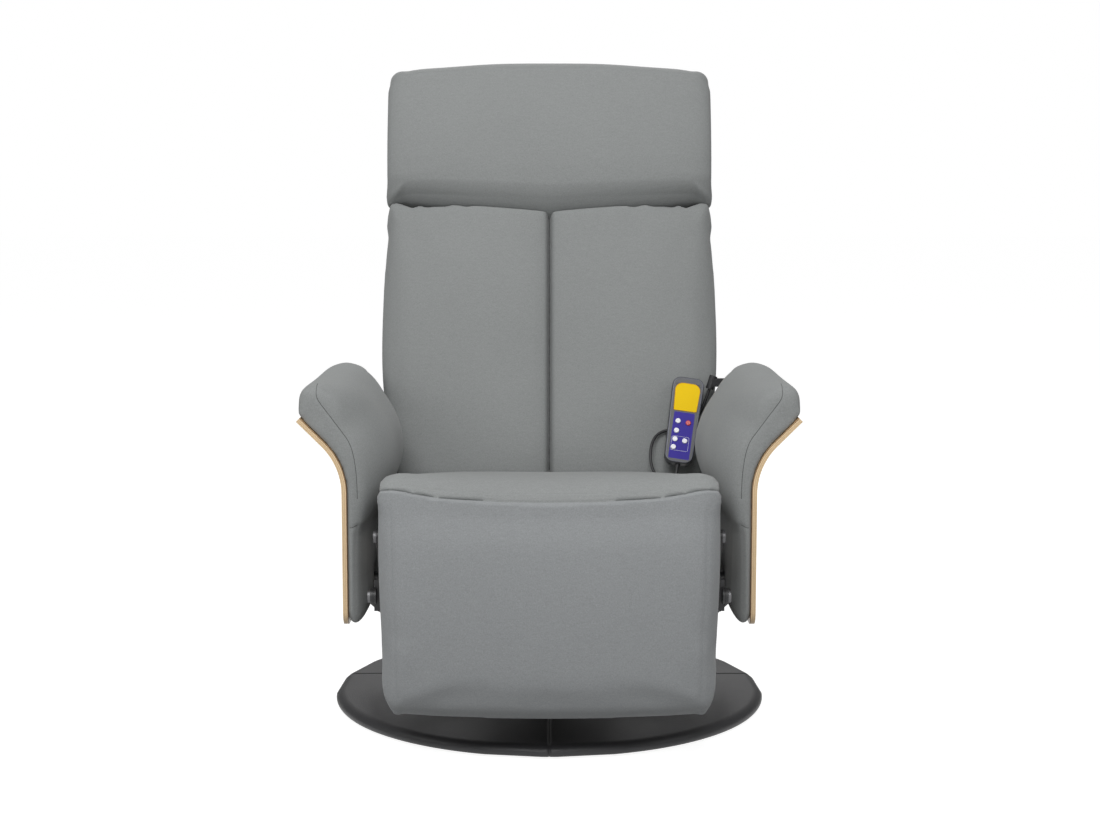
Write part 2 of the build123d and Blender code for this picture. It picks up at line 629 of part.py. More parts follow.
leg_sections = []
for share, drop, rise, draw in across_shares:
    low = LEG_BOTTOM_Z + LEG_SAG * share ** 2
    outline = [
        (LEG_FRONT_Y + NOSE_DRAW * draw, SEAT_SEAM_Z + SEAM_RISE * rise - LEG_SEAM_CLEARANCE),
        (LEG_FRONT_Y + NOSE_DRAW * draw + LEG_CROWN / 2, low + 2 * LEG_CROWN),
        (leg_back_y, low + LEG_CROWN),
        (leg_back_y, SEAT_LIP_Z - LEG_SEAM_CLEARANCE),
    ]
    bows = [LEG_CROWN, LEG_BOTTOM_CROWN, 0, 0]
    leg_sections.append(bowed_face(Plane.YZ.offset(LEG_HALF * share), outline, bows))
leg_outline = [
    (-LEG_FOOT_HALF, LEG_BOTTOM_Z + LEG_SAG),
    (LEG_FOOT_HALF, LEG_BOTTOM_Z + LEG_SAG),
    (LEG_WAIST_HALF, LEG_WAIST_Z),
    (LEG_HALF + CUT_OVERRUN, SEAT_CREST_Z),
    (-LEG_HALF - CUT_OVERRUN, SEAT_CREST_Z),
    (-LEG_WAIST_HALF, LEG_WAIST_Z),
]
leg_bows = [LEG_SAG + LEG_FOOT_BOW, LEG_FOOT_BOW, 0, 0, 0, LEG_FOOT_BOW]
leg_face = bowed_face(Plane.XZ.offset(-leg_back_y - CUT_OVERRUN), leg_outline, leg_bows)
leg_prism = extrude(leg_face, leg_back_y - LEG_FRONT_Y + 2 * LEG_CROWN + CUT_OVERRUN)
leg_foot_edges = leg_prism.edges().filter_by(Axis.Y).sort_by(Axis.Z)[:2]
leg_prism = fillet(leg_foot_edges, LEG_CORNER)
leg_cushion = loft(leg_sections) & leg_prism
leg_motors = []
leg_motor_z = (LEG_BOTTOM_Z + SEAT_LIP_Z) / 2
motor = rod_y(LEG_BOARD_HALF * LEG_MOTOR_SHARE, leg_back_y - MOTOR_HEIGHT, leg_back_y, leg_motor_z, MOTOR_RADIUS)
for piece in (motor, mirrored(motor)):
    leg_cushion -= piece
    leg_motors.append(piece)
save(leg_cushion, "leg_rest_cushion")
save(Compound(leg_motors), "leg_massage_motors")

# Arms: bentwood panel, core, thick flared pad, steel spacers and bolts

bend_centre = (WOOD_X + WOOD_BEND_RADIUS, WOOD_BEND_Z)
flare_angle = math.radians(WOOD_FLARE_ANGLE)


def wood_line(inset):
    """Corners of the bentwood's face at a depth from its outer side: foot, bend start, bend end, tip."""
    radius = WOOD_BEND_RADIUS + inset
    start_x = bend_centre[0] - radius
    end = (bend_centre[0] - radius * math.cos(flare_angle), bend_centre[1] + radius * math.sin(flare_angle))
    tip = (end[0] + WOOD_FLARE_LENGTH * math.sin(flare_angle), end[1] + WOOD_FLARE_LENGTH * math.cos(flare_angle))
    bow = radius * (1 - math.cos(flare_angle / 2))
    return [(start_x, WOOD_BOTTOM_Z), (start_x, WOOD_BEND_Z), end, tip], bow


outer_line, outer_bow = wood_line(0)
inner_line, inner_bow = wood_line(WOOD_THICKNESS)
arm_plane = Plane.XZ.offset(-ARM_REAR_Y)
wood_corners = outer_line + inner_line[::-1]
wood_bows = [0, -outer_bow, 0, 0, 0, inner_bow, 0, 0]
wood_face = bowed_face(arm_plane, wood_corners, wood_bows)
arm_length = ARM_REAR_Y - ARM_FRONT_Y
wood = extrude(wood_face, arm_length)
corner_cut = block(WOOD_X - 2 * WOOD_THICKNESS, WOOD_X + CUT_OVERRUN, ARM_FRONT_Y, ARM_FRONT_Y + WOOD_CORNER,
                   WOOD_BOTTOM_Z, WOOD_BOTTOM_Z + WOOD_CORNER)
corner_cut -= rod_x(WOOD_X - 2 * WOOD_THICKNESS, WOOD_X + CUT_OVERRUN, ARM_FRONT_Y + WOOD_CORNER,
                    WOOD_BOTTOM_Z + WOOD_CORNER, WOOD_CORNER)
rear_cut = Pos(0, ARM_FRONT_Y + ARM_REAR_Y, 0) * mirror(corner_cut, Plane.XZ)
wood -= corner_cut
wood -= rear_cut

# Each arm station: place along the arm, share of the full section over the front band, share of the pass
arm_station_shares = (
    (ARM_FRONT_Y, 0.0, 0.0, 0.0),
    (ARM_FRONT_Y + ARM_NOSE_FIRST, 0.5, 0.0, 0.0),
    (ARM_FRONT_Y + ARM_NOSE_LENGTH, 0.95, 0.0, 0.0),
    (ARM_FRONT_Y + ARM_NOSE_LENGTH * 2, 1.0, 0.0, 0.0),
    (ARM_PASS_START_Y, 1.0, 0.0, 0.0),
    (ARM_PASS_END_Y, 1.0, 1.0, 0.4),
    (ARM_REAR_Y, 0.9, 1.0, 1.0),
)


def between(first, second, share):
    """Point part of the way from one to another."""
    return (first[0] + (second[0] - first[0]) * share, first[1] + (second[1] - first[1]) * share)


band_normal = (-math.cos(flare_angle), math.sin(flare_angle))
arm_sections = []
for place, fullness, passing, dropping in arm_station_shares:
    tip = inner_line[3]
    bend_end = inner_line[2]
    band_top = (ARM_TOP_X + ARM_BAND_STEM / 2, ARM_BAND_TOP_Z)
    band_shoulder = (bend_end[0] + band_normal[0] * ARM_BAND_FLARE, bend_end[1] + band_normal[1] * ARM_BAND_FLARE)
    band_inner = (inner_line[1][0] - ARM_BAND_STEM, ARM_INNER_Z)
    band_stem = (inner_line[1][0] - ARM_BAND_STEM, ARM_STEM_TOP_Z)
    top = between(band_top, (ARM_TOP_X, ARM_TOP_Z), fullness)
    shoulder = between(band_shoulder, (ARM_SHOULDER_X, ARM_SHOULDER_Z), fullness)
    inner = between(band_inner, (ARM_INNER_X, ARM_INNER_Z), fullness)
    stem_top = between(band_stem, (ARM_STEM_X, ARM_STEM_TOP_Z), fullness)
    stem_low = between((band_stem[0], ARM_STEM_LOW_Z), (ARM_STEM_X, ARM_STEM_LOW_Z), fullness)
    foot = (ARM_FOOT_X, ARM_FOOT_Z)
    pass_x = ARM_PASS_X
    shoulder = between(shoulder, (pass_x + ARM_BAND_STEM / 2, shoulder[1]), passing)
    inner = between(inner, (pass_x, inner[1]), passing)
    stem_top = between(stem_top, (pass_x, stem_top[1]), passing)
    stem_low = between(stem_low, (pass_x, stem_low[1]), passing)
    foot = between(foot, (pass_x + WOOD_THICKNESS / 2, foot[1]), passing)
    drop = ARM_REAR_DROP * dropping
    top = (top[0], top[1] - drop)
    shoulder = (shoulder[0], shoulder[1] - drop)
    outer = (ARM_OUTER_X - drop / 2, ARM_OUTER_Z - drop)
    corners = [
        inner_line[0], inner_line[1], bend_end, tip, outer, top, shoulder, inner, stem_top, stem_low, foot,
    ]
    bows = [0, -inner_bow, 0, ARM_TIP_BOW, ARM_TOP_BOW, ARM_TOP_BOW, ARM_SWELL_BOW, ARM_INNER_BOW]
    bows += [0, ARM_STEM_BOW, ARM_STEM_BOW]
    arm_sections.append(bowed_face(Plane.XZ.offset(-place), corners, bows))
arm_pad = loft(arm_sections)

core_x1 = WOOD_X - WOOD_THICKNESS
core_x0 = core_x1 - ARM_CORE_THICKNESS
arm_core = block(core_x0, core_x1, ARM_CORE_FRONT_Y, ARM_CORE_REAR_Y, ARM_CORE_BOTTOM_Z, ARM_CORE_TOP_Z)
arm_pad -= arm_core
arm_bolts = []
for place in ARM_SPACER_PLACES:
    spacer = rod_x(plate_out, core_x0, *place, ARM_SPACER_RADIUS)
    arm_pad -= spacer
    side_plate += spacer - rod_x(plate_out, core_x0, *place, ARM_BOLT_RADIUS)
    bolt_end = core_x1 - ARM_BOLT_RADIUS / 2
    bolt = rod_x(SIDE_PLATE_X, bolt_end, *place, ARM_BOLT_RADIUS)
    arm_core -= bolt
    bolt += rod_x(SIDE_PLATE_X - ARM_BOLT_RADIUS, SIDE_PLATE_X, *place, BASE_BOLT_HEAD_RADIUS)
    arm_bolts += [bolt, mirrored(bolt)]
for name, side in SIDES:
    save(on_side(wood, side), f"arm_wood_panel_{name}")
    save(on_side(arm_pad, side), f"arm_pad_{name}")
    save(on_side(side_plate, side), f"side_plate_{name}")
save(Compound([arm_core, mirrored(arm_core)]), "arm_cores")
save(Compound(arm_bolts + seat_screws), "seat_frame_bolts")

# Backrest: board, hinge plates, padded cover behind, and a cushion of two crowned panels

BACK_STATION_SHARES = (
    (0.0, 0.82, 0.88),
    (0.06, 0.866, 0.97),
    (0.3, 0.985, 1.0),
    (0.6, 1.0, 1.0),
    (0.86, 0.99, 0.98),
    (1.0, 0.968, 0.95),
)


def back_point(place):
    """A place in Y and Z on the chair, as the upright drawing of the backrest has it."""
    lean_cos = math.cos(math.radians(BACK_LEAN))
    lean_sin = math.sin(math.radians(BACK_LEAN))
    along_y = place[0] - BACK_FOOT_Y
    along_z = place[1] - BACK_FOOT_Z
    return (along_y * lean_cos - along_z * lean_sin, along_y * lean_sin + along_z * lean_cos)


def head_radius(x, clearance=0.0):
    """Radius of the joint between headrest and back, largest in the middle of the chair."""
    edge_x = HEAD_HALF + CUT_OVERRUN
    arc_radius = (edge_x ** 2 + HEAD_SEAM_RISE ** 2) / (2 * HEAD_SEAM_RISE)
    return HEAD_ROUND - arc_radius + math.sqrt(arc_radius ** 2 - x ** 2) + clearance


spindle_end = HEAD_HALF + CUT_OVERRUN
spindle_corners = [
    (-spindle_end, 0),
    (spindle_end, 0),
    (spindle_end, head_radius(spindle_end, HEAD_CLEARANCE)),
    (-spindle_end, head_radius(spindle_end, HEAD_CLEARANCE)),
]
spindle_face = bowed_face(Plane.XY, spindle_corners, [0, 0, HEAD_SEAM_RISE, 0])
spindle = Pos(0, HEAD_PIVOT_Y, HEAD_PIVOT_Z) * revolve(spindle_face, Axis.X)

back_sections = []
cover_sections = []
for height_share, width_share, depth_share in BACK_STATION_SHARES:
    level = Plane.XY.offset(BACK_HEIGHT * height_share)
    half = BACK_HALF * width_share
    front = -BACK_DEPTH * depth_share
    side_y = -BACK_SIDE_DEPTH * depth_share
    outline = [
        (-half, side_y),
        (-BACK_CHANNEL_HALF, front),
        (0, front + BACK_CHANNEL_DEPTH),
        (BACK_CHANNEL_HALF, front),
        (half, side_y),
        (half, 0),
        (-half, 0),
    ]
    bows = [BACK_PANEL_CROWN, 0, 0, BACK_PANEL_CROWN, BACK_SIDE_CROWN, 0, BACK_SIDE_CROWN]
    back_sections.append(bowed_face(level, outline, bows))
    cover_outline = [
        (-half, 0),
        (half, 0),
        (half - BACK_COVER_THICKNESS / 2, BACK_COVER_THICKNESS),
        (-half + BACK_COVER_THICKNESS / 2, BACK_COVER_THICKNESS),
    ]
    cover_bows = [0, BACK_COVER_THICKNESS / 4, BACK_COVER_CROWN, BACK_COVER_THICKNESS / 4]
    cover_sections.append(bowed_face(level, cover_outline, cover_bows))
back_cushion = loft(back_sections) - spindle
back_cover = loft(cover_sections) - spindle

hinge_x1 = SIDE_PLATE_X - PLATE_CLEARANCE
hinge_x0 = hinge_x1 - STEEL_THICKNESS
recline_local = back_point(RECLINE_PIVOT)
hinge_half = BACK_HINGE_BAR / 2
hinge_low = BACK_HINGE_TOP / 2
back_board = block(-hinge_x0, hinge_x0, 0, BACK_BOARD_THICKNESS, BACK_BOARD_BOTTOM, BACK_HEIGHT) - spindle
hinge = link_x(hinge_x0, hinge_x1, recline_local, (-hinge_half / 2, BACK_HINGE_TOP), hinge_half)
hinge += block(hinge_x0, hinge_x1, -hinge_half, BACK_BOARD_THICKNESS + STEEL_THICKNESS, hinge_low, BACK_HINGE_TOP)
hinge += block(hinge_x0 - BACK_HINGE_BAR, hinge_x1, BACK_BOARD_THICKNESS,
               BACK_BOARD_THICKNESS + STEEL_THICKNESS, hinge_low, BACK_HINGE_TOP)
hinge -= rod_x(hinge_x0, hinge_x1, *recline_local, pivot_bore)
hinge_room = block(hinge_x0 - SOFT_CLEARANCE, SIDE_PLATE_X + BACK_HINGE_ROOM, recline_local[0] - hinge_half,
                   BACK_BOARD_THICKNESS, -BACK_HINGE_BAR, BACK_HINGE_TOP + BACK_HINGE_BAR)
back_cushion -= hinge_room
back_cushion -= mirrored(hinge_room)
for piece in (hinge_room, mirrored(hinge_room), back_board, hinge, mirrored(hinge)):
    back_cover -= piece

back_motors = []
for motor_x, motor_z in BACK_MOTOR_PLACES:
    motor = rod_y(motor_x, -MOTOR_HEIGHT, 0, motor_z, MOTOR_RADIUS)
    for piece in (motor, mirrored(motor)):
        back_cushion -= piece
        back_motors.append(lean(piece))
save(Compound(back_motors), "back_massage_motors")
save(lean(Compound([hinge, mirrored(hinge)])), "back_hinge_plates")
save(lean(back_board), "back_board")

recline_pin = rod_x(hinge_x0 - PLATE_CLEARANCE, plate_out, *RECLINE_PIVOT, PIVOT_RADIUS)
recline_pin += rod_x(hinge_x0 - PLATE_CLEARANCE - PIVOT_HEAD_HEIGHT, hinge_x0 - PLATE_CLEARANCE, *RECLINE_PIVOT,
                     PIVOT_HEAD_RADIUS)
recline_pin += rod_x(plate_out, plate_out + PIVOT_HEAD_HEIGHT, *RECLINE_PIVOT, PIVOT_HEAD_RADIUS)
side_pins = [foot_pin, mirrored(foot_pin), recline_pin, mirrored(recline_pin)]
save(Compound(side_pins), "side_plate_pivot_pins")

# Headrest: cushion and board that tilt forward on two friction hinges

HEAD_STATION_SHARES = (
    (0.0, 0.0, 0.0),
    (0.5, 0.03, 0.0),
    (0.84, 0.07, 0.11),
    (0.96, 0.18, 0.48),
    (1.0, 0.4, 1.0),
)
head_stations = [(-share, *rest) for share, *rest in reversed(HEAD_STATION_SHARES[1:])] + list(HEAD_STATION_SHARES)
head_top = HEAD_PIVOT_Z + HEAD_HEIGHT
head_sections = []
for share, drop, draw in head_stations:
    x = HEAD_HALF * share
    radius = head_radius(x) - HEAD_SIDE_ROUND * draw
    rear_y = HEAD_REAR_Y - HEAD_SIDE_ROUND * draw
    top_z = head_top - HEAD_TOP_CROWN - HEAD_TOP_ROUND * drop
    rear_angle = math.acos((rear_y - HEAD_PIVOT_Y) / radius)
    outline = [
        (HEAD_PIVOT_Y - radius, HEAD_PIVOT_Z),
        (rear_y, HEAD_PIVOT_Z - radius * math.sin(rear_angle)),
        (rear_y, top_z),
        (HEAD_TOP_FRONT_Y + HEAD_SIDE_ROUND * draw, top_z),
    ]
    bottom_bow = radius * (1 - math.cos((math.pi - rear_angle) / 2))
    bows = [bottom_bow, HEAD_CROWN / 2, HEAD_TOP_CROWN * (1 - draw / 2), HEAD_CROWN]
    head_sections.append(bowed_face(Plane.YZ.offset(x), outline, bows))
head_cushion = loft(head_sections)

head_board_front = HEAD_PIVOT_Y + 2 * HEAD_BOARD_THICKNESS
head_board_back = head_board_front + HEAD_BOARD_THICKNESS
head_board = block(-HEAD_BOARD_HALF, HEAD_BOARD_HALF, head_board_front, head_board_back,
                   HEAD_PIVOT_Z + HEAD_HINGE_WIDTH, head_top - 2 * HEAD_HINGE_WIDTH)
head_cushion -= head_board

leaf_half = HEAD_HINGE_WIDTH / 2
fixed_x1 = HEAD_HINGE_X + STEEL_THICKNESS
moving_x0 = fixed_x1 + PLATE_CLEARANCE
moving_x1 = moving_x0 + STEEL_THICKNESS
head_pivot = (HEAD_PIVOT_Y, HEAD_PIVOT_Z)
leaf_foot_z = HEAD_PIVOT_Z - HEAD_LEAF_LENGTH
leaf_top_z = HEAD_PIVOT_Z + HEAD_LEAF_LENGTH
fixed_leaf = link_x(HEAD_HINGE_X, fixed_x1, (-leaf_half, leaf_foot_z), head_pivot, leaf_half)
fixed_leaf += block(HEAD_HINGE_X - HEAD_HINGE_WIDTH, fixed_x1, -STEEL_THICKNESS, 0,
                    leaf_foot_z - leaf_half, leaf_foot_z + HEAD_HINGE_WIDTH)
fixed_leaf -= rod_x(HEAD_HINGE_X, fixed_x1, *head_pivot, PIVOT_RADIUS)
moving_leaf = link_x(moving_x0, moving_x1, head_pivot, (head_board_front - leaf_half, leaf_top_z), leaf_half)
moving_leaf += block(moving_x0, moving_x1 + HEAD_HINGE_WIDTH, head_board_front - STEEL_THICKNESS, head_board_front,
                     leaf_top_z - HEAD_HINGE_WIDTH, leaf_top_z + leaf_half)
moving_leaf -= rod_x(moving_x0, moving_x1, *head_pivot, pivot_bore)
head_pin = rod_x(HEAD_HINGE_X, moving_x1 + PLATE_CLEARANCE, *head_pivot, PIVOT_RADIUS)
head_pin += rod_x(moving_x1 + PLATE_CLEARANCE, moving_x1 + PLATE_CLEARANCE + PIVOT_HEAD_HEIGHT, *head_pivot,
                  PIVOT_HEAD_RADIUS)
head_pin += rod_x(HEAD_HINGE_X - PIVOT_HEAD_HEIGHT, HEAD_HINGE_X, *head_pivot, PIVOT_HEAD_RADIUS)
leaf_slant = math.atan2(-leaf_half - HEAD_PIVOT_Y, HEAD_LEAF_LENGTH)
leaf_swing = math.radians(HEAD_TILT) - leaf_slant
sweep_reach = HEAD_ROUND * math.sin(leaf_swing) + leaf_half / math.cos(leaf_swing) + HEAD_CLEARANCE
sweep_room = block(HEAD_HINGE_X - 2 * PIVOT_HEAD_HEIGHT, moving_x1 + 2 * PIVOT_HEAD_HEIGHT,
                   HEAD_PIVOT_Y - sweep_reach, HEAD_REAR_Y + CUT_OVERRUN,
                   HEAD_PIVOT_Z - HEAD_ROUND - CUT_OVERRUN, HEAD_PIVOT_Z + HEAD_HINGE_WIDTH - CUT_OVERRUN)
for piece in (sweep_room, moving_leaf):
    head_cushion -= piece
    head_cushion -= mirrored(piece)
for piece in (fixed_leaf, mirrored(fixed_leaf)):
    back_cushion -= piece
save(lean(back_cushion), "back_cushion")
save(lean(back_cover), "back_cover")
save(lean(head_cushion), "headrest_cushion")
save(lean(head_board), "headrest_board")
save(lean(Compound([fixed_leaf, mirrored(fixed_leaf)])), "headrest_hinge_lower_leaves")
save(lean(Compound([moving_leaf, mirrored(moving_leaf)])), "headrest_hinge_upper_leaves")
save(lean(Compound([head_pin, mirrored(head_pin)])), "headrest_pivot_pins")
print("headrest pivot", lean(Pos(0, *head_pivot)).position)

# Control box for the massage motors, on the swivel plate between the cross tubes

box_top = plate_top + BOX_HEIGHT
half_length = BOX_LENGTH / 2
half_width = BOX_WIDTH / 2
control_box = block(-half_length, half_length, -half_width, half_width, plate_top, box_top)
control_box = fillet(control_box.edges().filter_by(Axis.Z), 2 * BOX_WALL)
inlet_z = plate_top + BOX_HEIGHT / 2
inlet_end = -half_length - INLET_LENGTH
control_box += rod_x(inlet_end, -half_length, 0, inlet_z, INLET_RADIUS)
control_box -= block(-half_length + BOX_WALL, half_length - BOX_WALL, -half_width + BOX_WALL,
                     half_width - BOX_WALL, plate_top + BOX_WALL, box_top)
control_box -= rod_x(inlet_end, -half_length, 0, inlet_z, INLET_BORE)
control_lid = block(-half_length, half_length, -half_width, half_width, box_top, box_top + BOX_LID_THICKNESS)
control_lid = fillet(control_lid.edges().filter_by(Axis.Z), 2 * BOX_WALL)
board_low = plate_top + BOX_WALL + CONTROL_BOARD_GAP
board_high = board_low + HANDSET_BOARD_THICKNESS
control_board = block(-half_length + 2 * BOX_WALL, half_length - 2 * BOX_WALL, -half_width + 2 * BOX_WALL,
                      half_width - 2 * BOX_WALL, board_low, board_high)
control_board += block(-TRANSFORMER_LENGTH / 2, TRANSFORMER_LENGTH / 2, -TRANSFORMER_WIDTH / 2,
                       TRANSFORMER_WIDTH / 2, board_high, box_top - BOX_WALL)
for post_x in (-half_length + 4 * BOX_WALL, half_length - 4 * BOX_WALL):
    for post_y in (-half_width + 4 * BOX_WALL, half_width - 4 * BOX_WALL):
        control_box += rod_z(post_x, post_y, plate_top + BOX_WALL, board_low, BOX_WALL)
save(control_board, "control_board")
save(control_box, "control_box")
save(control_lid, "control_box_lid")

# Handset, drawn upright with its back on Y zero and its foot on Z zero


def held(shape):
    """Put a piece of the handset where it leans between seat, back and arm."""
    return Pos(*HANDSET_PLACE) * Rot(-HANDSET_LEAN, 0, 0) * Rot(0, HANDSET_ROLL, 0) * shape


def handset_block(inset, front, back):
    """Tapered block with round corners, inset from the outline of the handset."""
    low = HANDSET_WIDTH_LOW / 2 - inset
    high = HANDSET_WIDTH_TOP / 2 - inset
    top = HANDSET_LENGTH - inset
    face = bowed_face(Plane.XZ.offset(-back), [(-low, inset), (low, inset), (high, top), (-high, top)], [0] * 4)
    shape = extrude(face, back - front)
    return fillet(shape.edges().filter_by(Axis.Y), HANDSET_CORNER - inset)


def face_panel(width, low, high):
    """Thin panel let into the front of the handset."""
    front = -HANDSET_DEPTH
    panel = block(-width / 2, width / 2, front, front + FACE_THICKNESS, low, high)
    return fillet(panel.edges().filter_by(Axis.Y), FACE_THICKNESS * 2)


case = handset_block(0, -HANDSET_DEPTH, 0)
rim_edges = case.faces().sort_by(Axis.Y)[0].edges() + case.faces().sort_by(Axis.Y)[-1].edges()
case = fillet(rim_edges, HANDSET_RIM_ROUND)
seam = -HANDSET_SPLIT
span = HANDSET_LENGTH
front_half = case & block(-span, span, -HANDSET_DEPTH, seam, -span, 2 * span)
back_half = case & block(-span, span, seam, 0, -span, 2 * span)
face_wall = HANDSET_WALL + FACE_THICKNESS
front_half -= handset_block(HANDSET_WALL, -HANDSET_DEPTH + face_wall, seam)
back_half -= handset_block(HANDSET_WALL, seam, -HANDSET_WALL)

overlay_top = FACE_MARGIN + OVERLAY_LENGTH
window_low = overlay_top + FACE_THICKNESS * 2
overlay = face_panel(OVERLAY_WIDTH, FACE_MARGIN, overlay_top)
window = face_panel(WINDOW_WIDTH, window_low, window_low + WINDOW_LENGTH)
window &= handset_block(FACE_MARGIN - FACE_THICKNESS, -HANDSET_DEPTH, seam)
front_half -= overlay
front_half -= window
button_tail = -HANDSET_DEPTH + face_wall + BUTTON_TRAVEL / 2
for name, (button_x, button_z) in BUTTON_PLACES.items():
    hole = rod_y(button_x, -HANDSET_DEPTH, -HANDSET_DEPTH + face_wall, button_z, BUTTON_RADIUS + BUTTON_CLEARANCE)
    overlay -= hole
    front_half -= hole
    button = rod_y(button_x, -HANDSET_DEPTH - BUTTON_PROUD, button_tail, button_z, BUTTON_RADIUS)
    button = fillet(button.faces().sort_by(Axis.Y)[0].edges(), BUTTON_RADIUS / 4)
    save(held(button), f"handset_button_{name}")
board_back = seam - HANDSET_BOARD_THICKNESS / 2
circuit = handset_block(HANDSET_WALL + SOFT_CLEARANCE, board_back - HANDSET_BOARD_THICKNESS, board_back)
save(held(front_half), "handset_front_case")
save(held(back_half), "handset_back_case")
save(held(overlay), "handset_button_overlay")
save(held(window), "handset_window")
save(held(circuit), "handset_circuit_board")
press_axis = (held(Pos(0, 1, 0)).position - held(Pos(0, 0, 0)).position)
print("button press axis", [round(value, 6) for value in press_axis])

# Handset cord from its strain relief, in a loop behind the handset, up to a socket on the arm

relief = Pos(RELIEF_X, seam, -RELIEF_LENGTH / 2) * Cone(CORD_DIAMETER / 2, RELIEF_RADIUS, RELIEF_LENGTH)
save(held(relief), "handset_strain_relief")
cord_start = held(Pos(RELIEF_X, seam, -RELIEF_LENGTH)).position
socket_foot = Vector(*SOCKET_PLACE)
cord_bend = held(Pos(RELIEF_X, seam, -RELIEF_LENGTH - CORD_EXIT_RUN)).position
route = [cord_start, cord_bend] + [Vector(*point) for point in CORD_ROUTE] + [socket_foot]
radii = []
for index in range(1, len(route) - 1):
    before = route[index] - route[index - 1]
    after = route[index + 1] - route[index]
    turn = math.radians(before.get_angle(after))
    radii.append(CORD_BEND_SHARE * min(before.length, after.length) / math.tan(turn / 2))
print("cord runs", [round((route[i + 1] - route[i]).length, 1) for i in range(len(route) - 1)])
print("cord radii", [round(radius, 1) for radius in radii])
cord_path = FilletPolyline(*route, radius=radii)
cord = sweep(Plane(origin=cord_path @ 0, z_dir=cord_path % 0) * Circle(CORD_DIAMETER / 2), path=cord_path)
cord_volume = math.pi * (CORD_DIAMETER / 2) ** 2 * cord_path.length
print("cord length", round(cord_path.length, 1), "volume", round(cord.volume, 1), "of", round(cord_volume, 1))
print("cord start", cord_start)
save(cord, "handset_cord")

socket_way = (socket_foot - route[-2]).normalized()
socket_plane = Plane(origin=socket_foot, z_dir=socket_way)
socket = extrude(socket_plane * Circle(SOCKET_RADIUS), SOCKET_LENGTH)
socket_middle = socket_foot + socket_way * (SOCKET_LENGTH / 2)
socket += block(socket_middle.X, ARM_PASS_X + SOCKET_RADIUS, socket_middle.Y - SOCKET_RADIUS,
                socket_middle.Y + SOCKET_RADIUS, socket_middle.Z - SOCKET_RADIUS, socket_middle.Z + SOCKET_RADIUS)
socket -= arm_pad
socket_pieces = socket.solids().sort_by(SortBy.VOLUME)
save(socket_pieces[-1], "handset_cord_socket")
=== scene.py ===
import math

import bmesh
import bpy
import numpy as np
from mathutils import Matrix, Vector


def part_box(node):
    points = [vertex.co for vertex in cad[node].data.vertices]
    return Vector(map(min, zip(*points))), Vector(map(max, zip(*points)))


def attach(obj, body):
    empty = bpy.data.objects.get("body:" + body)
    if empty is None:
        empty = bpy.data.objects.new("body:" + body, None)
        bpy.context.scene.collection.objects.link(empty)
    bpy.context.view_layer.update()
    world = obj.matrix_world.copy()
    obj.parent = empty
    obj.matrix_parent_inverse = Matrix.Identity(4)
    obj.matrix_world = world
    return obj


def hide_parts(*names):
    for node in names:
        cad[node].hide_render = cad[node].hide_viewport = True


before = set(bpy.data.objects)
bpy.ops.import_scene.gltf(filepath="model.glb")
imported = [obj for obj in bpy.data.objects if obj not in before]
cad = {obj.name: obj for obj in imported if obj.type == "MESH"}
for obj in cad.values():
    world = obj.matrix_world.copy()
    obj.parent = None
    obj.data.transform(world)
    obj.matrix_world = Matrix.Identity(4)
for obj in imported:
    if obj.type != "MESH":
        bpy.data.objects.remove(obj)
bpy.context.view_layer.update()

scene = bpy.context.scene

# The camera stands in front of the chair, a little above the seat, and looks slightly down.
# Its place and lens follow from the ellipse of the base and the upright lines of the chair.
CAMERA_PLACE = (0.0, -3.130, 0.863)
CAMERA_PITCH = 6.83
CAMERA_LENS = 61.66
CAMERA_SHIFT = 0.0006
camera = bpy.data.objects.new("camera", bpy.data.cameras.new("camera"))
camera.location = CAMERA_PLACE
camera.rotation_euler = (math.radians(90.0 - CAMERA_PITCH), 0.0, 0.0)
camera.data.lens = CAMERA_LENS
camera.data.sensor_width = 36.0
camera.data.shift_x = CAMERA_SHIFT
scene.collection.objects.link(camera)
scene.camera = camera
scene.view_settings.view_transform = "Standard"


# The handset's cord: thin round cable in a soft black sheath. It leaves the strain relief at the
# handset's foot, loops to the left, passes behind the handset and goes up to the socket on the arm.
def new_finish(name, roughness, metallic=0.0):
    """Material with its node tree and its main shader."""
    material = bpy.data.materials.new(name)
    material.use_nodes = True
    shader = material.node_tree.nodes["Principled BSDF"]
    shader.inputs["Roughness"].default_value = roughness
    shader.inputs["Metallic"].default_value = metallic
    return material, material.node_tree, shader


def add_node(tree, kind, **values):
    """Shader node with its sockets or settings given by name."""
    made = tree.nodes.new(kind)
    for name, value in values.items():
        socket = made.inputs.get(name.replace("_", " "))
        if socket is None:
            setattr(made, name, value)
        else:
            socket.default_value = value
    return made


def place_on(tree, stretch=(1.0, 1.0, 1.0)):
    """Coordinates fixed to the piece, in metres, stretched along its axes."""
    coordinates = add_node(tree, "ShaderNodeTexCoord")
    mapping = add_node(tree, "ShaderNodeMapping", Scale=stretch)
    tree.links.new(coordinates.outputs["Object"], mapping.inputs["Vector"])
    return mapping.outputs["Vector"]


def noise_on(tree, scale, detail=3.0, stretch=(1.0, 1.0, 1.0), roughness=0.5):
    """Grey noise fixed to the piece."""
    noise = add_node(tree, "ShaderNodeTexNoise", Scale=scale, Detail=detail, Roughness=roughness)
    tree.links.new(place_on(tree, stretch), noise.inputs["Vector"])
    return noise.outputs["Fac"]


def shaded(shade, share, lift=0.0):
    """A colour made darker or lighter."""
    return tuple(part * share + lift for part in shade)


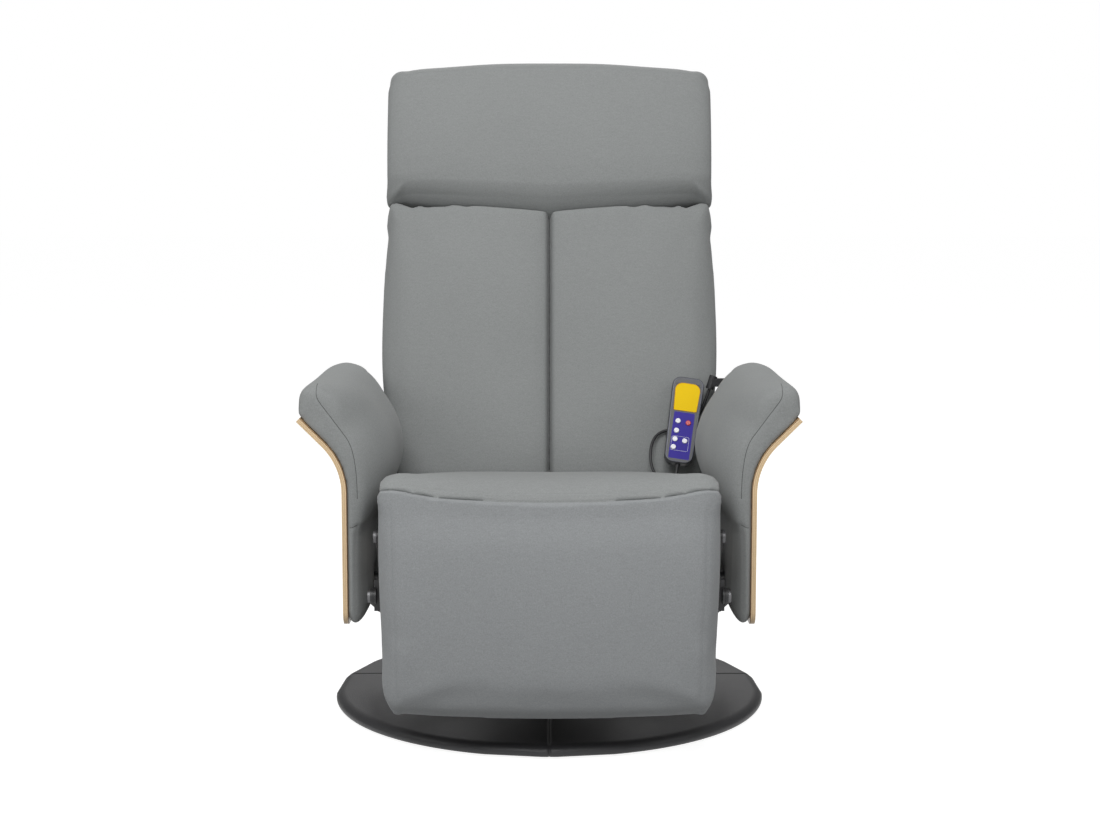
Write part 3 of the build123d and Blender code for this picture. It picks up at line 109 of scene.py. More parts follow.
def colour_from(tree, shader, source, low, high, start=0.3, end=0.7):
    """Base colour blended between two by a grey value."""
    ramp = add_node(tree, "ShaderNodeValToRGB")
    ramp.color_ramp.elements[0].position = start
    ramp.color_ramp.elements[0].color = (*low, 1.0)
    ramp.color_ramp.elements[1].position = end
    ramp.color_ramp.elements[1].color = (*high, 1.0)
    tree.links.new(source, ramp.inputs["Fac"])
    tree.links.new(ramp.outputs["Color"], shader.inputs["Base Color"])


def sum_of(tree, first, second, share=0.5):
    """Two grey values mixed."""
    mix = add_node(tree, "ShaderNodeMix", data_type="FLOAT")
    mix.inputs[0].default_value = share
    tree.links.new(first, mix.inputs[2])
    tree.links.new(second, mix.inputs[3])
    return mix.outputs[0]


def raise_by(tree, shader, height, distance, strength=1.0):
    """Bump from a grey value; distance is the relief in metres."""
    bump = add_node(tree, "ShaderNodeBump", Strength=strength, Distance=distance)
    tree.links.new(height, bump.inputs["Height"])
    tree.links.new(bump.outputs["Normal"], shader.inputs["Normal"])


def roughness_from(tree, shader, source, low, high):
    """Roughness that varies between two values."""
    spread = add_node(tree, "ShaderNodeMapRange", To_Min=low, To_Max=high)
    tree.links.new(source, spread.inputs["Value"])
    tree.links.new(spread.outputs["Result"], shader.inputs["Roughness"])


def rubber_finish(name, shade):
    """Soft black sheath with a faint bloom and fine pitting."""
    material, tree, shader = new_finish(name, 0.5)
    bloom = noise_on(tree, 90.0, 4.0)
    darker = shaded(shade, 0.7)
    colour_from(tree, shader, bloom, darker, shade)
    roughness_from(tree, shader, bloom, 0.42, 0.62)
    raise_by(tree, shader, noise_on(tree, 1500.0, 2.0), 0.00005)
    return material


CORD_DIAMETER = 0.005
CORD_ROUTE = (
    (0.219206, 0.079125, 0.376635),
    (0.217920, 0.075666, 0.368867),
    (0.2100, 0.0735, 0.3616),
    (0.1970, 0.0740, 0.3600),
    (0.1845, 0.0790, 0.3660),
    (0.1760, 0.0880, 0.3830),
    (0.1745, 0.1000, 0.4050),
    (0.1790, 0.1120, 0.4250),
    (0.1920, 0.1245, 0.4380),
    (0.2170, 0.1295, 0.4430),
    (0.2400, 0.1335, 0.4490),
    (0.2600, 0.1410, 0.4640),
    (0.2720, 0.1460, 0.4870),
    (0.2800, 0.1485, 0.5110),
)
cord_curve = bpy.data.curves.new("handset_lead", "CURVE")
cord_curve.dimensions = "3D"
cord_line = cord_curve.splines.new("NURBS")
cord_line.points.add(len(CORD_ROUTE) - 1)
for spline_point, place in zip(cord_line.points, CORD_ROUTE):
    spline_point.co = (*place, 1.0)
cord_line.order_u = 3
cord_line.use_endpoint_u = True
cord_line.resolution_u = 8
cord_curve.bevel_depth = CORD_DIAMETER / 2
cord_curve.bevel_resolution = 6
cord_piece = bpy.data.objects.new("handset_lead", cord_curve)
scene.collection.objects.link(cord_piece)
black_sheath = rubber_finish("black_sheath", (0.03, 0.03, 0.032))
cord_curve.materials.append(black_sheath)
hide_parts("handset_cord")
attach(cord_piece, "seat")

# Studio: a white floor that keeps a soft shadow, a white surround, and large soft lamps.
# The main lamp is above the camera; weaker ones stand low in front, at both sides and behind.
FLOOR_HALF = 30.0
FLOOR_GREY = 0.36
FLOOR_SEEN_SHARE = 0.9
SURROUND_LEVEL = 0.27
floor_mesh = bpy.data.meshes.new("floor")
floor_mesh.from_pydata([(-FLOOR_HALF, -FLOOR_HALF, 0.0), (FLOOR_HALF, -FLOOR_HALF, 0.0),
                        (FLOOR_HALF, FLOOR_HALF, 0.0), (-FLOOR_HALF, FLOOR_HALF, 0.0)], [], [(0, 1, 2, 3)])
floor = bpy.data.objects.new("floor", floor_mesh)
floor.location.z = -0.0005
scene.collection.objects.link(floor)
floor_finish, floor_tree, floor_shader = new_finish("floor", 0.9)
floor_shader.inputs["Base Color"].default_value = (FLOOR_GREY, FLOOR_GREY, FLOOR_GREY, 1.0)
floor_shader.inputs["Specular IOR Level"].default_value = 0.0
white_glow = add_node(floor_tree, "ShaderNodeEmission", Color=(1.0, 1.0, 1.0, 1.0))
ray = add_node(floor_tree, "ShaderNodeLightPath")
seen_share = add_node(floor_tree, "ShaderNodeMath", operation="MAXIMUM")
floor_tree.links.new(ray.outputs["Is Camera Ray"], seen_share.inputs[0])
floor_tree.links.new(ray.outputs["Is Glossy Ray"], seen_share.inputs[1])
glow_level = add_node(floor_tree, "ShaderNodeMath", operation="MULTIPLY")
floor_tree.links.new(seen_share.outputs["Value"], glow_level.inputs[0])
glow_level.inputs[1].default_value = FLOOR_SEEN_SHARE
floor_tree.links.new(glow_level.outputs["Value"], white_glow.inputs["Strength"])
floor_sum = add_node(floor_tree, "ShaderNodeAddShader")
floor_tree.links.new(floor_shader.outputs["BSDF"], floor_sum.inputs[0])
floor_tree.links.new(white_glow.outputs["Emission"], floor_sum.inputs[1])
floor_tree.links.new(floor_sum.outputs["Shader"], floor_tree.nodes["Material Output"].inputs["Surface"])
floor_mesh.materials.append(floor_finish)

world = bpy.data.worlds.new("surround")
scene.world = world
world.use_nodes = True
sky = world.node_tree.nodes["Background"]
sky.inputs["Color"].default_value = (1.0, 1.0, 1.0, 1.0)
sky_ray = add_node(world.node_tree, "ShaderNodeLightPath")
sky_seen = add_node(world.node_tree, "ShaderNodeMath", operation="MAXIMUM")
world.node_tree.links.new(sky_ray.outputs["Is Camera Ray"], sky_seen.inputs[0])
world.node_tree.links.new(sky_ray.outputs["Is Transmission Ray"], sky_seen.inputs[1])
sky_level = add_node(world.node_tree, "ShaderNodeMapRange", To_Min=SURROUND_LEVEL, To_Max=1.0)
world.node_tree.links.new(sky_seen.outputs["Value"], sky_level.inputs["Value"])
world.node_tree.links.new(sky_level.outputs["Result"], sky.inputs["Strength"])


def soft_lamp(name, place, aim, size, power):
    """Square area lamp that points at a place."""
    lamp = bpy.data.objects.new(name, bpy.data.lights.new(name, "AREA"))
    lamp.data.size = size
    lamp.data.energy = power
    lamp.location = place
    lamp.rotation_euler = (Vector(aim) - Vector(place)).to_track_quat("-Z", "Y").to_euler()
    scene.collection.objects.link(lamp)


soft_lamp("lamp_front", (-0.3, -2.7, 3.1), (0.0, 0.0, 0.5), 2.0, 92.0)
soft_lamp("lamp_low", (0.0, -4.0, 1.0), (0.0, 0.0, 0.5), 2.0, 14.0)
soft_lamp("lamp_left", (2.8, -1.2, 2.2), (0.1, 0.0, 0.5), 1.6, 12.0)
soft_lamp("lamp_right", (-2.8, -1.2, 2.2), (-0.1, 0.0, 0.5), 1.6, 16.0)
soft_lamp("lamp_back", (0.0, 2.8, 2.4), (0.0, 0.0, 0.6), 1.8, 34.0)


# Round base: a board covered in charcoal artificial leather, sewn in four sectors over thin wadding,
# with a pressed felt pad below so that it doesn't mark the floor.
def coat(node_name, material):
    """Give a CAD piece its material."""
    mesh = cad[node_name].data
    mesh.materials.clear()
    mesh.materials.append(material)


def leather_finish(name, shade):
    """Artificial leather: pebbled grain, slight sheen, lighter where it is rubbed."""
    material, tree, shader = new_finish(name, 0.45)
    pebbles = add_node(tree, "ShaderNodeTexVoronoi", Scale=420.0)
    tree.links.new(place_on(tree), pebbles.inputs["Vector"])
    rubbed = noise_on(tree, 7.0, 5.0)
    lighter = shaded(shade, 1.35)
    colour_from(tree, shader, rubbed, shade, lighter, 0.35, 0.8)
    roughness_from(tree, shader, rubbed, 0.38, 0.58)
    grain = sum_of(tree, pebbles.outputs["Distance"], noise_on(tree, 60.0, 4.0), 0.35)
    raise_by(tree, shader, grain, 0.0004, 0.6)
    return material


def fibre_finish(name, shade, scale=900.0):
    """Pressed or woven fibre, matt, with loose colour."""
    material, tree, shader = new_finish(name, 0.95)
    fibres = noise_on(tree, scale, 6.0, (1.0, 1.0, 1.0), 0.7)
    lighter = shaded(shade, 1.8, 0.01)
    colour_from(tree, shader, fibres, shade, lighter)
    raise_by(tree, shader, fibres, 0.0004)
    return material


def piece_from(form, name, finishes):
    """Piece made from a finished form, with its faces turned outward."""
    bmesh.ops.recalc_face_normals(form, faces=form.faces)
    mesh = bpy.data.meshes.new(name)
    form.to_mesh(mesh)
    form.free()
    for finish in finishes:
        mesh.materials.append(finish)
    piece = bpy.data.objects.new(name, mesh)
    scene.collection.objects.link(piece)
    return piece


def smooth_faces(mesh):
    """Shade a mesh as one curved surface."""
    mesh.polygons.foreach_set("use_smooth", [True] * len(mesh.polygons))


BASE_SEAM_ANGLES = (-90.0, 12.0, 90.0, 168.0)
BASE_SEAM_STEPS = (0.0, 0.0007, 0.0014, 0.0024, 0.0040, 0.0070, 0.0120)
BASE_SEAM_CLEAR_ANGLE = 15.0
BASE_SEAM_DEPTH = 0.0022
BASE_SEAM_WIDTH = 0.0017
BASE_HUB_LIP = 0.014
BASE_HUB_EDGE = 0.002
BASE_ROLL_WIDTH = 0.018
BASE_ROLL_HEIGHT = 0.0110
BASE_ROLL_MIDDLE = 0.0065
BASE_ROLL_RINGS = 15
BASE_ROLL_TURN = 9.0
BASE_FOOT_INSET = 0.009
BASE_FALL_STRAIGHT = 0.55
BASE_TOP_RINGS = 24
BASE_PLAIN_COLUMNS = 34
charcoal = leather_finish("charcoal_leather", (0.024, 0.024, 0.026))
cover_points = np.array([tuple(vertex.co) for vertex in cad["base_cover"].data.vertices])
cover_radii = np.hypot(cover_points[:, 0], cover_points[:, 1])
cover_reach = float(cover_radii.max())
cover_hub = float(cover_radii.min())
cover_top = float(cover_points[:, 2].max())
cover_foot = float(cover_points[:, 2].min())
roll_middle = (cover_reach - BASE_ROLL_WIDTH, cover_foot + BASE_ROLL_MIDDLE)
roll_top = roll_middle[1] + BASE_ROLL_HEIGHT
hub_edge = cover_hub + BASE_HUB_EDGE
base_profile = [
    (cover_hub, cover_foot + BASE_HUB_LIP),
    (cover_hub, cover_top - BASE_HUB_EDGE),
    (hub_edge, cover_top),
]
for step in range(1, BASE_TOP_RINGS + 1):
    share = step / (BASE_TOP_RINGS + 1)
    fall_share = BASE_FALL_STRAIGHT * share + (1.0 - BASE_FALL_STRAIGHT) * share ** 3
    base_profile.append((hub_edge + (roll_middle[0] - hub_edge) * share,
                         cover_top - (cover_top - roll_top) * fall_share))
for step in range(BASE_ROLL_RINGS):
    turn = math.radians(90.0 - BASE_ROLL_TURN * step)
    base_profile.append((roll_middle[0] + BASE_ROLL_WIDTH * math.cos(turn),
                         max(cover_foot, roll_middle[1] + BASE_ROLL_HEIGHT * math.sin(turn))))
base_profile.append((cover_reach - BASE_FOOT_INSET, cover_foot))
base_columns = []
for index, seam_angle in enumerate(BASE_SEAM_ANGLES):
    for step in BASE_SEAM_STEPS[:0:-1]:
        base_columns.append((seam_angle, -step))
    base_columns.extend((seam_angle, step) for step in BASE_SEAM_STEPS)
    next_angle = BASE_SEAM_ANGLES[(index + 1) % len(BASE_SEAM_ANGLES)]
    plain_angle = (next_angle - seam_angle) % 360.0 - 2.0 * BASE_SEAM_CLEAR_ANGLE
    for column in range(BASE_PLAIN_COLUMNS):
        share = (column + 0.5) / BASE_PLAIN_COLUMNS
        base_columns.append((seam_angle + BASE_SEAM_CLEAR_ANGLE + plain_angle * share, 0.0))
base_form = bmesh.new()
base_rings = []
for radius, height in base_profile:
    ring = []
    for column_angle, aside in base_columns:
        turn = math.radians(column_angle) + aside / radius
        from_seam = min(abs(math.sin((turn - math.radians(seam)) / 2)) * 2 * radius
                        for seam in BASE_SEAM_ANGLES)
        pressed = BASE_SEAM_DEPTH * math.exp(-(from_seam / BASE_SEAM_WIDTH) ** 2)
        on_roll = max(0.0, (radius - roll_middle[0]) / BASE_ROLL_WIDTH)
        drawn_radius = radius - pressed * on_roll
        drawn_height = max(cover_foot, height - pressed * (1.0 - on_roll))
        place = (drawn_radius * math.cos(turn), drawn_radius * math.sin(turn), drawn_height)
        ring.append(base_form.verts.new(place))
    base_rings.append(ring)
for lower, upper in zip(base_rings[:-1], base_rings[1:]):
    for column in range(len(base_columns)):
        following = (column + 1) % len(base_columns)
        base_form.faces.new((lower[column], upper[column], upper[following], lower[following]))
base_padding = piece_from(base_form, "base_padding", [charcoal])
smooth_faces(base_padding.data)
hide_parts("base_cover")
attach(base_padding, "base")
coat("base_felt_pad", fibre_finish("felt", (0.02, 0.02, 0.02)))


# Boards of raw plywood hold the base, the back, the headrest, the leg rest and the arms, and
# the seat rails are cut from the same sheet; the plies show as fine lines along the edges.
def ply_finish(name, light, dark):
    """Raw plywood: long grain on the face, fine layers through the thickness."""
    material, tree, shader = new_finish(name, 0.7)
    grain = noise_on(tree, 30.0, 6.0, (1.0, 1.0, 12.0), 0.6)
    layers = add_node(tree, "ShaderNodeTexWave", Scale=110.0, Distortion=0.6, bands_direction="Y")
    tree.links.new(place_on(tree), layers.inputs["Vector"])
    both = sum_of(tree, grain, layers.outputs["Fac"], 0.25)
    colour_from(tree, shader, both, dark, light)
    roughness_from(tree, shader, grain, 0.6, 0.8)
    raise_by(tree, shader, grain, 0.0002)
    return material


raw_ply = ply_finish("raw_plywood", (0.55, 0.4, 0.24), (0.36, 0.24, 0.13))
for board in ("base_board", "back_board", "headrest_board", "leg_rest_board", "arm_cores", "seat_rails"):
    coat(board, raw_ply)


# Steel parts: flange, plate, tubes, side plates, links, hinges and brackets are cut and welded mild
# steel with a black powder coat; pins, bolts, screws and the column are zinc plated.
def coated_steel(name, shade):
    """Powder coat: fine orange peel, slightly worn and greyer on its high spots."""
    material, tree, shader = new_finish(name, 0.42)
    peel = noise_on(tree, 650.0, 2.0)
    worn = noise_on(tree, 25.0, 6.0, (1.0, 1.0, 1.0), 0.65)
    greyer = shaded(shade, 2.2, 0.005)
    colour_from(tree, shader, worn, shade, greyer, 0.45, 0.85)
    roughness_from(tree, shader, worn, 0.34, 0.55)
    raise_by(tree, shader, peel, 0.00012)
    return material


def plated_steel(name, shade):
    """Zinc plate gone dull: metal with brushed streaks and cloudy patches."""
    material, tree, shader = new_finish(name, 0.5, 1.0)
    cloud = noise_on(tree, 140.0, 4.0)
    streaks = noise_on(tree, 500.0, 2.0, (0.05, 1.0, 1.0))
    darker = shaded(shade, 0.75)
    colour_from(tree, shader, cloud, darker, shade)
    roughness_from(tree, shader, cloud, 0.42, 0.58)
    raise_by(tree, shader, streaks, 0.00005)
    return material


black_coat = coated_steel("black_powder_coat", (0.012, 0.012, 0.013))
zinc = plated_steel("zinc_plate", (0.17, 0.17, 0.175))
for steel in ("base_flange", "swivel_plate", "seat_cross_tubes", "side_plate_left", "side_plate_right",
              "leg_drive_links", "leg_follower_links", "leg_drive_tube", "leg_rest_brackets",
              "back_hinge_plates", "headrest_hinge_lower_leaves", "headrest_hinge_upper_leaves"):
    coat(steel, black_coat)
for plated in ("base_bolts", "base_column", "side_plate_pivot_pins", "knee_pivot_pins", "leg_pivot_pins",
               "leg_rest_screws", "headrest_pivot_pins", "seat_frame_bolts"):
    coat(plated, zinc)


# Swivel bush and thrust pad are turned from natural acetal, the motors' housings are moulded, and
# elastic webbing is stapled across the seat rails under the cushion.
def moulded_plastic(name, shade, roughness, texture=0.00008):
    """Moulded plastic with a fine spark texture and faint flow marks."""
    material, tree, shader = new_finish(name, roughness)
    flow = noise_on(tree, 40.0, 3.0, (1.0, 1.0, 0.3))
    darker = shaded(shade, 0.86)
    colour_from(tree, shader, flow, darker, shade)
    roughness_from(tree, shader, flow, roughness * 0.85, min(1.0, roughness * 1.15))
    raise_by(tree, shader, noise_on(tree, 2200.0, 2.0), texture)
    return material


acetal = moulded_plastic("natural_acetal", (0.78, 0.78, 0.74), 0.35)
housing = moulded_plastic("motor_housing", (0.03, 0.03, 0.032), 0.5)
coat("swivel_bush", acetal)
coat("swivel_thrust_pad", acetal)
for motors in ("seat_massage_motors", "back_massage_motors", "leg_massage_motors"):
    coat(motors, housing)
coat("seat_webbing", fibre_finish("elastic_webbing", (0.015, 0.015, 0.016), 700.0))


# Seat cushion: moulded foam under a sewn cover of woven grey fabric, with a roll across the front.
# Its cover meets the leg rest at a seam that dips in the middle.
def fabric_finish(name, shade):
    """Woven upholstery cloth: crossed slubby yarns, heather colour, soft sheen at grazing angles."""
    material, tree, shader = new_finish(name, 0.92)
    across = noise_on(tree, 1300.0, 3.0, (0.25, 1.0, 1.0), 0.6)
    upward = noise_on(tree, 1300.0, 3.0, (1.0, 1.0, 0.25), 0.6)
    weave = sum_of(tree, across, upward, 0.5)
    slubs = noise_on(tree, 260.0, 3.0, (0.30, 1.0, 1.0), 0.5)
    yarns = sum_of(tree, weave, slubs, 0.12)
    patches = noise_on(tree, 5.0, 3.0)
    tone = sum_of(tree, yarns, patches, 0.08)
    darker = shaded(shade, 0.86)
    lighter = shaded(shade, 1.14)
    colour_from(tree, shader, tone, darker, lighter, 0.38, 0.62)
    roughness_from(tree, shader, weave, 0.84, 1.0)
    shader.inputs["Sheen Weight"].default_value = 0.15
    shader.inputs["Sheen Roughness"].default_value = 0.5
    shader.inputs["Specular IOR Level"].default_value = 0.2
    raise_by(tree, shader, weave, 0.0003, 0.7)
    return material


def mesh_points(mesh):
    """Vertex places as an array."""
    points = np.empty(len(mesh.vertices) * 3, dtype=np.float32)
    mesh.vertices.foreach_get("co", points)
    return points.reshape(-1, 3).astype(np.float64)


def mesh_normals(mesh):
    """Vertex normals as an array."""
    normals = np.empty(len(mesh.vertices) * 3, dtype=np.float32)
    mesh.vertex_normals.foreach_get("vector", normals)
    return normals.reshape(-1, 3).astype(np.float64)


def set_points(mesh, points):
    """Move the vertices to new places."""
    mesh.vertices.foreach_set("co", points.astype(np.float32).ravel())
    mesh.update()


def bake(piece):
    """Make a piece's modifiers part of its mesh."""
    evaluated = piece.evaluated_get(bpy.context.evaluated_depsgraph_get())
    mesh = bpy.data.meshes.new_from_object(evaluated)
    piece.modifiers.clear()
    piece.data = mesh


FORM_EASING = 3


def padded_form(name, node_name, voxel, filling=None):
    """Even quad mesh of a cushion's solid with its sharp edges eased; a filling closes a room in it."""
    piece = bpy.data.objects.new(name, cad[node_name].data.copy())
    scene.collection.objects.link(piece)
    if filling is not None:
        lower = Vector(filling[0])
        upper = Vector(filling[1])
        whole = bmesh.new()
        whole.from_mesh(piece.data)
        room = Matrix.Translation((lower + upper) / 2) @ Matrix.Diagonal((upper - lower).to_4d())
        bmesh.ops.create_cube(whole, size=1.0, matrix=room)
        whole.to_mesh(piece.data)
        whole.free()
    remesh = piece.modifiers.new("even", "REMESH")
    remesh.mode = "VOXEL"
    remesh.voxel_size = voxel
    ease = piece.modifiers.new("ease", "SMOOTH")
    ease.factor = 0.5
    ease.iterations = FORM_EASING
    bake(piece)
    return piece


def soften(piece, free, rounds):
    """Even out a cover where it is free, as cloth pulled over foam does."""
    mesh = piece.data
    ends = np.empty(len(mesh.edges) * 2, dtype=np.int32)
    mesh.edges.foreach_get("vertices", ends)
    ends = ends.reshape(-1, 2)
    from_end, to_end = np.concatenate([ends, ends[:, ::-1]]).T
    points = mesh_points(mesh)
    count = np.maximum(np.bincount(from_end, minlength=len(points)), 1)[:, None]
    for turn in range(rounds):
        sums = [np.bincount(from_end, points[to_end, axis], len(points)) for axis in range(3)]
        points += 0.5 * free[:, None] * (np.stack(sums, axis=1) / count - points)
    set_points(mesh, points)


def snap_to(piece, node_name, near):
    """Lay the chosen points of a cover back on the solid's own surface, sharp edges too."""
    solid = cad[node_name]
    points = mesh_points(piece.data)
    for index in np.nonzero(near(points))[0]:
        points[index] = solid.closest_point_on_mesh(Vector(points[index]))[1]
    set_points(piece.data, points)


def laid_on(piece, line):
    """The places on a cover that are nearest to those of a line."""
    return [tuple(piece.closest_point_on_mesh(Vector(place))[1]) for place in line]


def rising(values, start, reach):
    """Share that grows from 0 at the start to 1 one reach above it."""
    return np.clip((values - start) / reach, 0.0, 1.0)


def falling(values, start, reach):
    """Share that grows from 0 at the start to 1 one reach below it."""
    return np.clip((start - values) / reach, 0.0, 1.0)


def square_corners(across, height, half, edge, upward, radius, tight):
    """Draw rounded corners out to tighter ones, at a top edge (upward 1) or at a foot (upward -1)."""
    a = radius - half + np.abs(across)
    b = radius - upward * (edge - height)
    reach = np.maximum(np.hypot(a, b), 1e-9)
    longer = np.maximum(a, b) / reach
    shorter = np.minimum(a, b) / reach
    inner = radius - tight
    both = inner * (longer + shorter)
    arc = both + np.sqrt(np.maximum(both ** 2 - 2.0 * inner ** 2 + tight ** 2, 0.0))
    straight = radius / np.maximum(longer, 1e-9)
    wanted = np.where(shorter / np.maximum(longer, 1e-9) > inner / radius, arc, straight)
    scale = np.where((a > 0.0) & (b > 0.0), wanted / radius, 1.0)
    across[:] = np.sign(across) * (half - radius + a * scale)
    height[:] = edge - upward * (radius - b * scale)


def inflate(piece, held, pressure, cap, steps=20):
    """Swell a cover with air pressure; held gives how firmly each point is fixed, from 0 to 1."""
    start = mesh_points(piece.data)
    group = piece.vertex_groups.new(name="held")
    weights = held(start)
    for level in (0.25, 0.5, 0.75, 1.0):
        chosen = np.nonzero((weights > level - 0.25) & (weights <= level))[0]
        group.add(chosen.tolist(), level, "REPLACE")
    cloth = piece.modifiers.new("cover", "CLOTH")
    cloth.settings.quality = 4
    cloth.settings.mass = 0.35
    cloth.settings.tension_stiffness = 40.0
    cloth.settings.compression_stiffness = 40.0
    cloth.settings.shear_stiffness = 12.0
    cloth.settings.bending_stiffness = 2.0
    cloth.settings.use_pressure = True
    cloth.settings.uniform_pressure_force = pressure
    cloth.settings.vertex_group_mass = "held"
    cloth.settings.pin_stiffness = 1.0
    cloth.settings.effector_weights.gravity = 0.0
    cloth.collision_settings.use_collision = False
    cloth.point_cache.frame_start = 1
    cloth.point_cache.frame_end = steps
    for step in range(1, steps + 1):
        scene.frame_set(step)
    bake(piece)
    scene.frame_set(1)
    moved = mesh_points(piece.data) - start
    lengths = np.linalg.norm(moved, axis=1, keepdims=True)
    moved *= np.minimum(1.0, cap / np.maximum(lengths, 1e-9))
    set_points(piece.data, start + moved)
    piece.vertex_groups.clear()
    soften(piece, 1.0 - weights, 10)


def refine(piece):
    """Divide every face in four and round the whole a little."""
    finer = piece.modifiers.new("finer", "SUBSURF")
    finer.levels = 1
    finer.render_levels = 1
    bake(piece)


def distance_to(points, line):
    """Distance of each point from a line of straight runs."""
    best = np.full(len(points), 1e9)
    for first, second in zip(line[:-1], line[1:]):
        start = np.array(first, dtype=np.float64)
        along = np.array(second, dtype=np.float64) - start
        share = np.clip((points - start) @ along / max(along @ along, 1e-12), 0.0, 1.0)
        gap = np.linalg.norm(points - start - share[:, None] * along, axis=1)
        best = np.minimum(best, gap)
    return best


def sew(piece, line, width, depth):
    """Draw the cover in along a seam."""
    points = mesh_points(piece.data)
    normals = mesh_normals(piece.data)
    drawn = depth * np.exp(-(distance_to(points, line) / width) ** 2)
    set_points(piece.data, points - normals * drawn[:, None])


def thin_line(name, places, radius, rings, material, body, closed=False):
    """Round line through places, fixed to a body."""
    curve = bpy.data.curves.new(name, "CURVE")
    curve.dimensions = "3D"
    run = curve.splines.new("POLY")
    run.points.add(len(places) - 1)
    for point, place in zip(run.points, places):
        point.co = (*place, 1.0)
    run.use_cyclic_u = closed
    curve.bevel_depth = radius
    curve.bevel_resolution = rings
    curve.materials.append(material)
    made = bpy.data.objects.new(name, curve)
    scene.collection.objects.link(made)
    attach(made, body)
    return made


THREAD_SINK = 0.3


def sewn_line(name, piece, line, material, body, radius=0.0006, spacing=0.005):
    """Thread laid on a cover along a seam whose corners are rounded, partly sunk in the cloth; laid thick,
    the same line is a strip of painted shade.
    """
    for turn in range(2):
        cut = [line[0]]
        for first, second in zip(line[:-1], line[1:]):
            cut.append(tuple(Vector(first).lerp(Vector(second), 0.25)))
            cut.append(tuple(Vector(first).lerp(Vector(second), 0.75)))
        line = cut + [line[-1]]
    places = []
    for first, second in zip(line[:-1], line[1:]):
        start = Vector(first)
        along = Vector(second) - start
        count = max(1, int(along.length / spacing))
        places.extend(start + along * (step / count) for step in range(count))
    places.append(Vector(line[-1]))
    laid = []
    for place in places:
        nearest, normal = piece.closest_point_on_mesh(place)[1:3]
        laid.append(nearest - normal * (radius * THREAD_SINK))
    return thin_line(name, laid, radius, 2, material, body)


def dress(piece, material, body, node_name):
    """Finish a cushion: smooth faces, cloth, body and node."""
    piece.data.materials.clear()
    piece.data.materials.append(material)
    smooth_faces(piece.data)
    piece.data.update()
    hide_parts(node_name)
    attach(piece, body)


SEAT_VOXEL = 0.006
SEAM_GAP = 0.0055
SEAM_BAND = 0.014
SEAM_COLUMNS = 41
SEAT_CROWN_DROP = 0.005
SEAT_CROWN_HALF = 0.22
SEAT_CROWN_Z = 0.385
SEAT_UNDER_FRONT_Z = 0.372
SEAT_UNDER_FALL = 0.085
SEAT_FIRM_SIDE_X = 0.222
SEAT_LIP_Y = -0.36
grey_cloth = fabric_finish("grey_cloth", (0.262, 0.272, 0.270))
# Dark thread for the seams; along the back's channel the same colour, laid as a thick strip, is painted
# shade in the groove.
seam_thread_and_shade = fibre_finish("seam_thread_and_shade", (0.045, 0.047, 0.047), 1500.0)
seat_low, seat_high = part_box("seat_cushion")
seat_pad = padded_form("seat_pad", "seat_cushion", SEAT_VOXEL)
seam_columns = np.linspace(0.0, 0.244, SEAM_COLUMNS)
leg_top_heights = [cad["leg_rest_cushion"].ray_cast((column, -0.41, 1.0), (0.0, 0.0, -1.0))[1].z
                   for column in seam_columns]


def seam_height(x):
    """Height of the seat's lip above the leg rest across the chair."""
    return np.interp(np.abs(x), seam_columns, leg_top_heights) + SEAM_GAP


def seat_held(points):
    """The underside is stapled to the rails, and the lip is sewn to the leg rest."""
    along = (points[:, 1] - seat_low[1]) / (seat_high[1] - seat_low[1])
    under = points[:, 2] < SEAT_UNDER_FRONT_Z - SEAT_UNDER_FALL * along
    at_lip = (points[:, 1] < -0.30) & (points[:, 2] < seam_height(points[:, 0]) + 0.016)
    beside = np.abs(points[:, 0]) > SEAT_FIRM_SIDE_X
    return np.where(under | at_lip, 1.0, np.where(beside, 0.5, 0.0))


def seat_lip(points):
    """The lip of the seat's cover along the seam."""
    above = points[:, 2] - seam_height(points[:, 0])
    return (points[:, 1] < SEAT_LIP_Y) & (above < SEAM_BAND) & (above > -0.02)


inflate(seat_pad, seat_held, 2.5, 0.006)
refine(seat_pad)
seat_places = mesh_points(seat_pad.data)
toward_middle = np.clip(1.0 - (seat_places[:, 0] / SEAT_CROWN_HALF) ** 2, 0.0, 1.0)
seat_places[:, 2] -= SEAT_CROWN_DROP * rising(seat_places[:, 2], SEAT_CROWN_Z, 0.03) * toward_middle
set_points(seat_pad.data, seat_places)
snap_to(seat_pad, "seat_cushion", seat_lip)
dress(seat_pad, grey_cloth, "seat", "seat_cushion")

# Leg rest: foam on a board under one sewn cover, a flat front panel with narrow side boxings.
# It hangs in front of the seat and hides the mechanism; its top edge follows the seat's lip.
SEAM_LAP = 0.0018
LEG_LAP_REACH = 0.045
LEG_REAR_BAND = 0.030
LEG_FRONT_Y = -0.395
LEG_LIP_Y = -0.40
LEG_SPREAD = 0.048
LEG_SPREAD_TOP_Z = 0.215
LEG_SPREAD_REACH = 0.115
LEG_FOOT_DROP = 0.006
LEG_FOOT_HALF = 0.2375
LEG_WAIST_HALF = 0.2455
LEG_WAIST_Z = 0.165
LEG_TOP_HALF = 0.2525
LEG_TOP_Z = 0.36
LEG_CORNERS = (0.024, 0.009)
LEG_SIDE_TURN = 0.030
LEG_SIDE_DEPTH = 0.010
LEG_SEAM_INSET = 0.014
LEG_SEAM_HEIGHTS = (0.400, 0.360, 0.320, 0.280, 0.240, 0.200, 0.165, 0.135, 0.106)
leg_cloth = fabric_finish("grey_cloth_leg_rest", (0.277, 0.288, 0.294))
leg_low, leg_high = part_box("leg_rest_cushion")
leg_pad = padded_form("leg_rest_pad", "leg_rest_cushion", SEAT_VOXEL)


def leg_held(points):
    """The back is stapled to the board, and the top edge lies along the seat."""
    at_back = points[:, 1] > leg_high[1] - 0.014
    at_top = points[:, 2] > seam_height(points[:, 0]) - SEAM_GAP - 0.020
    return np.where(at_back | at_top, 1.0, 0.0)


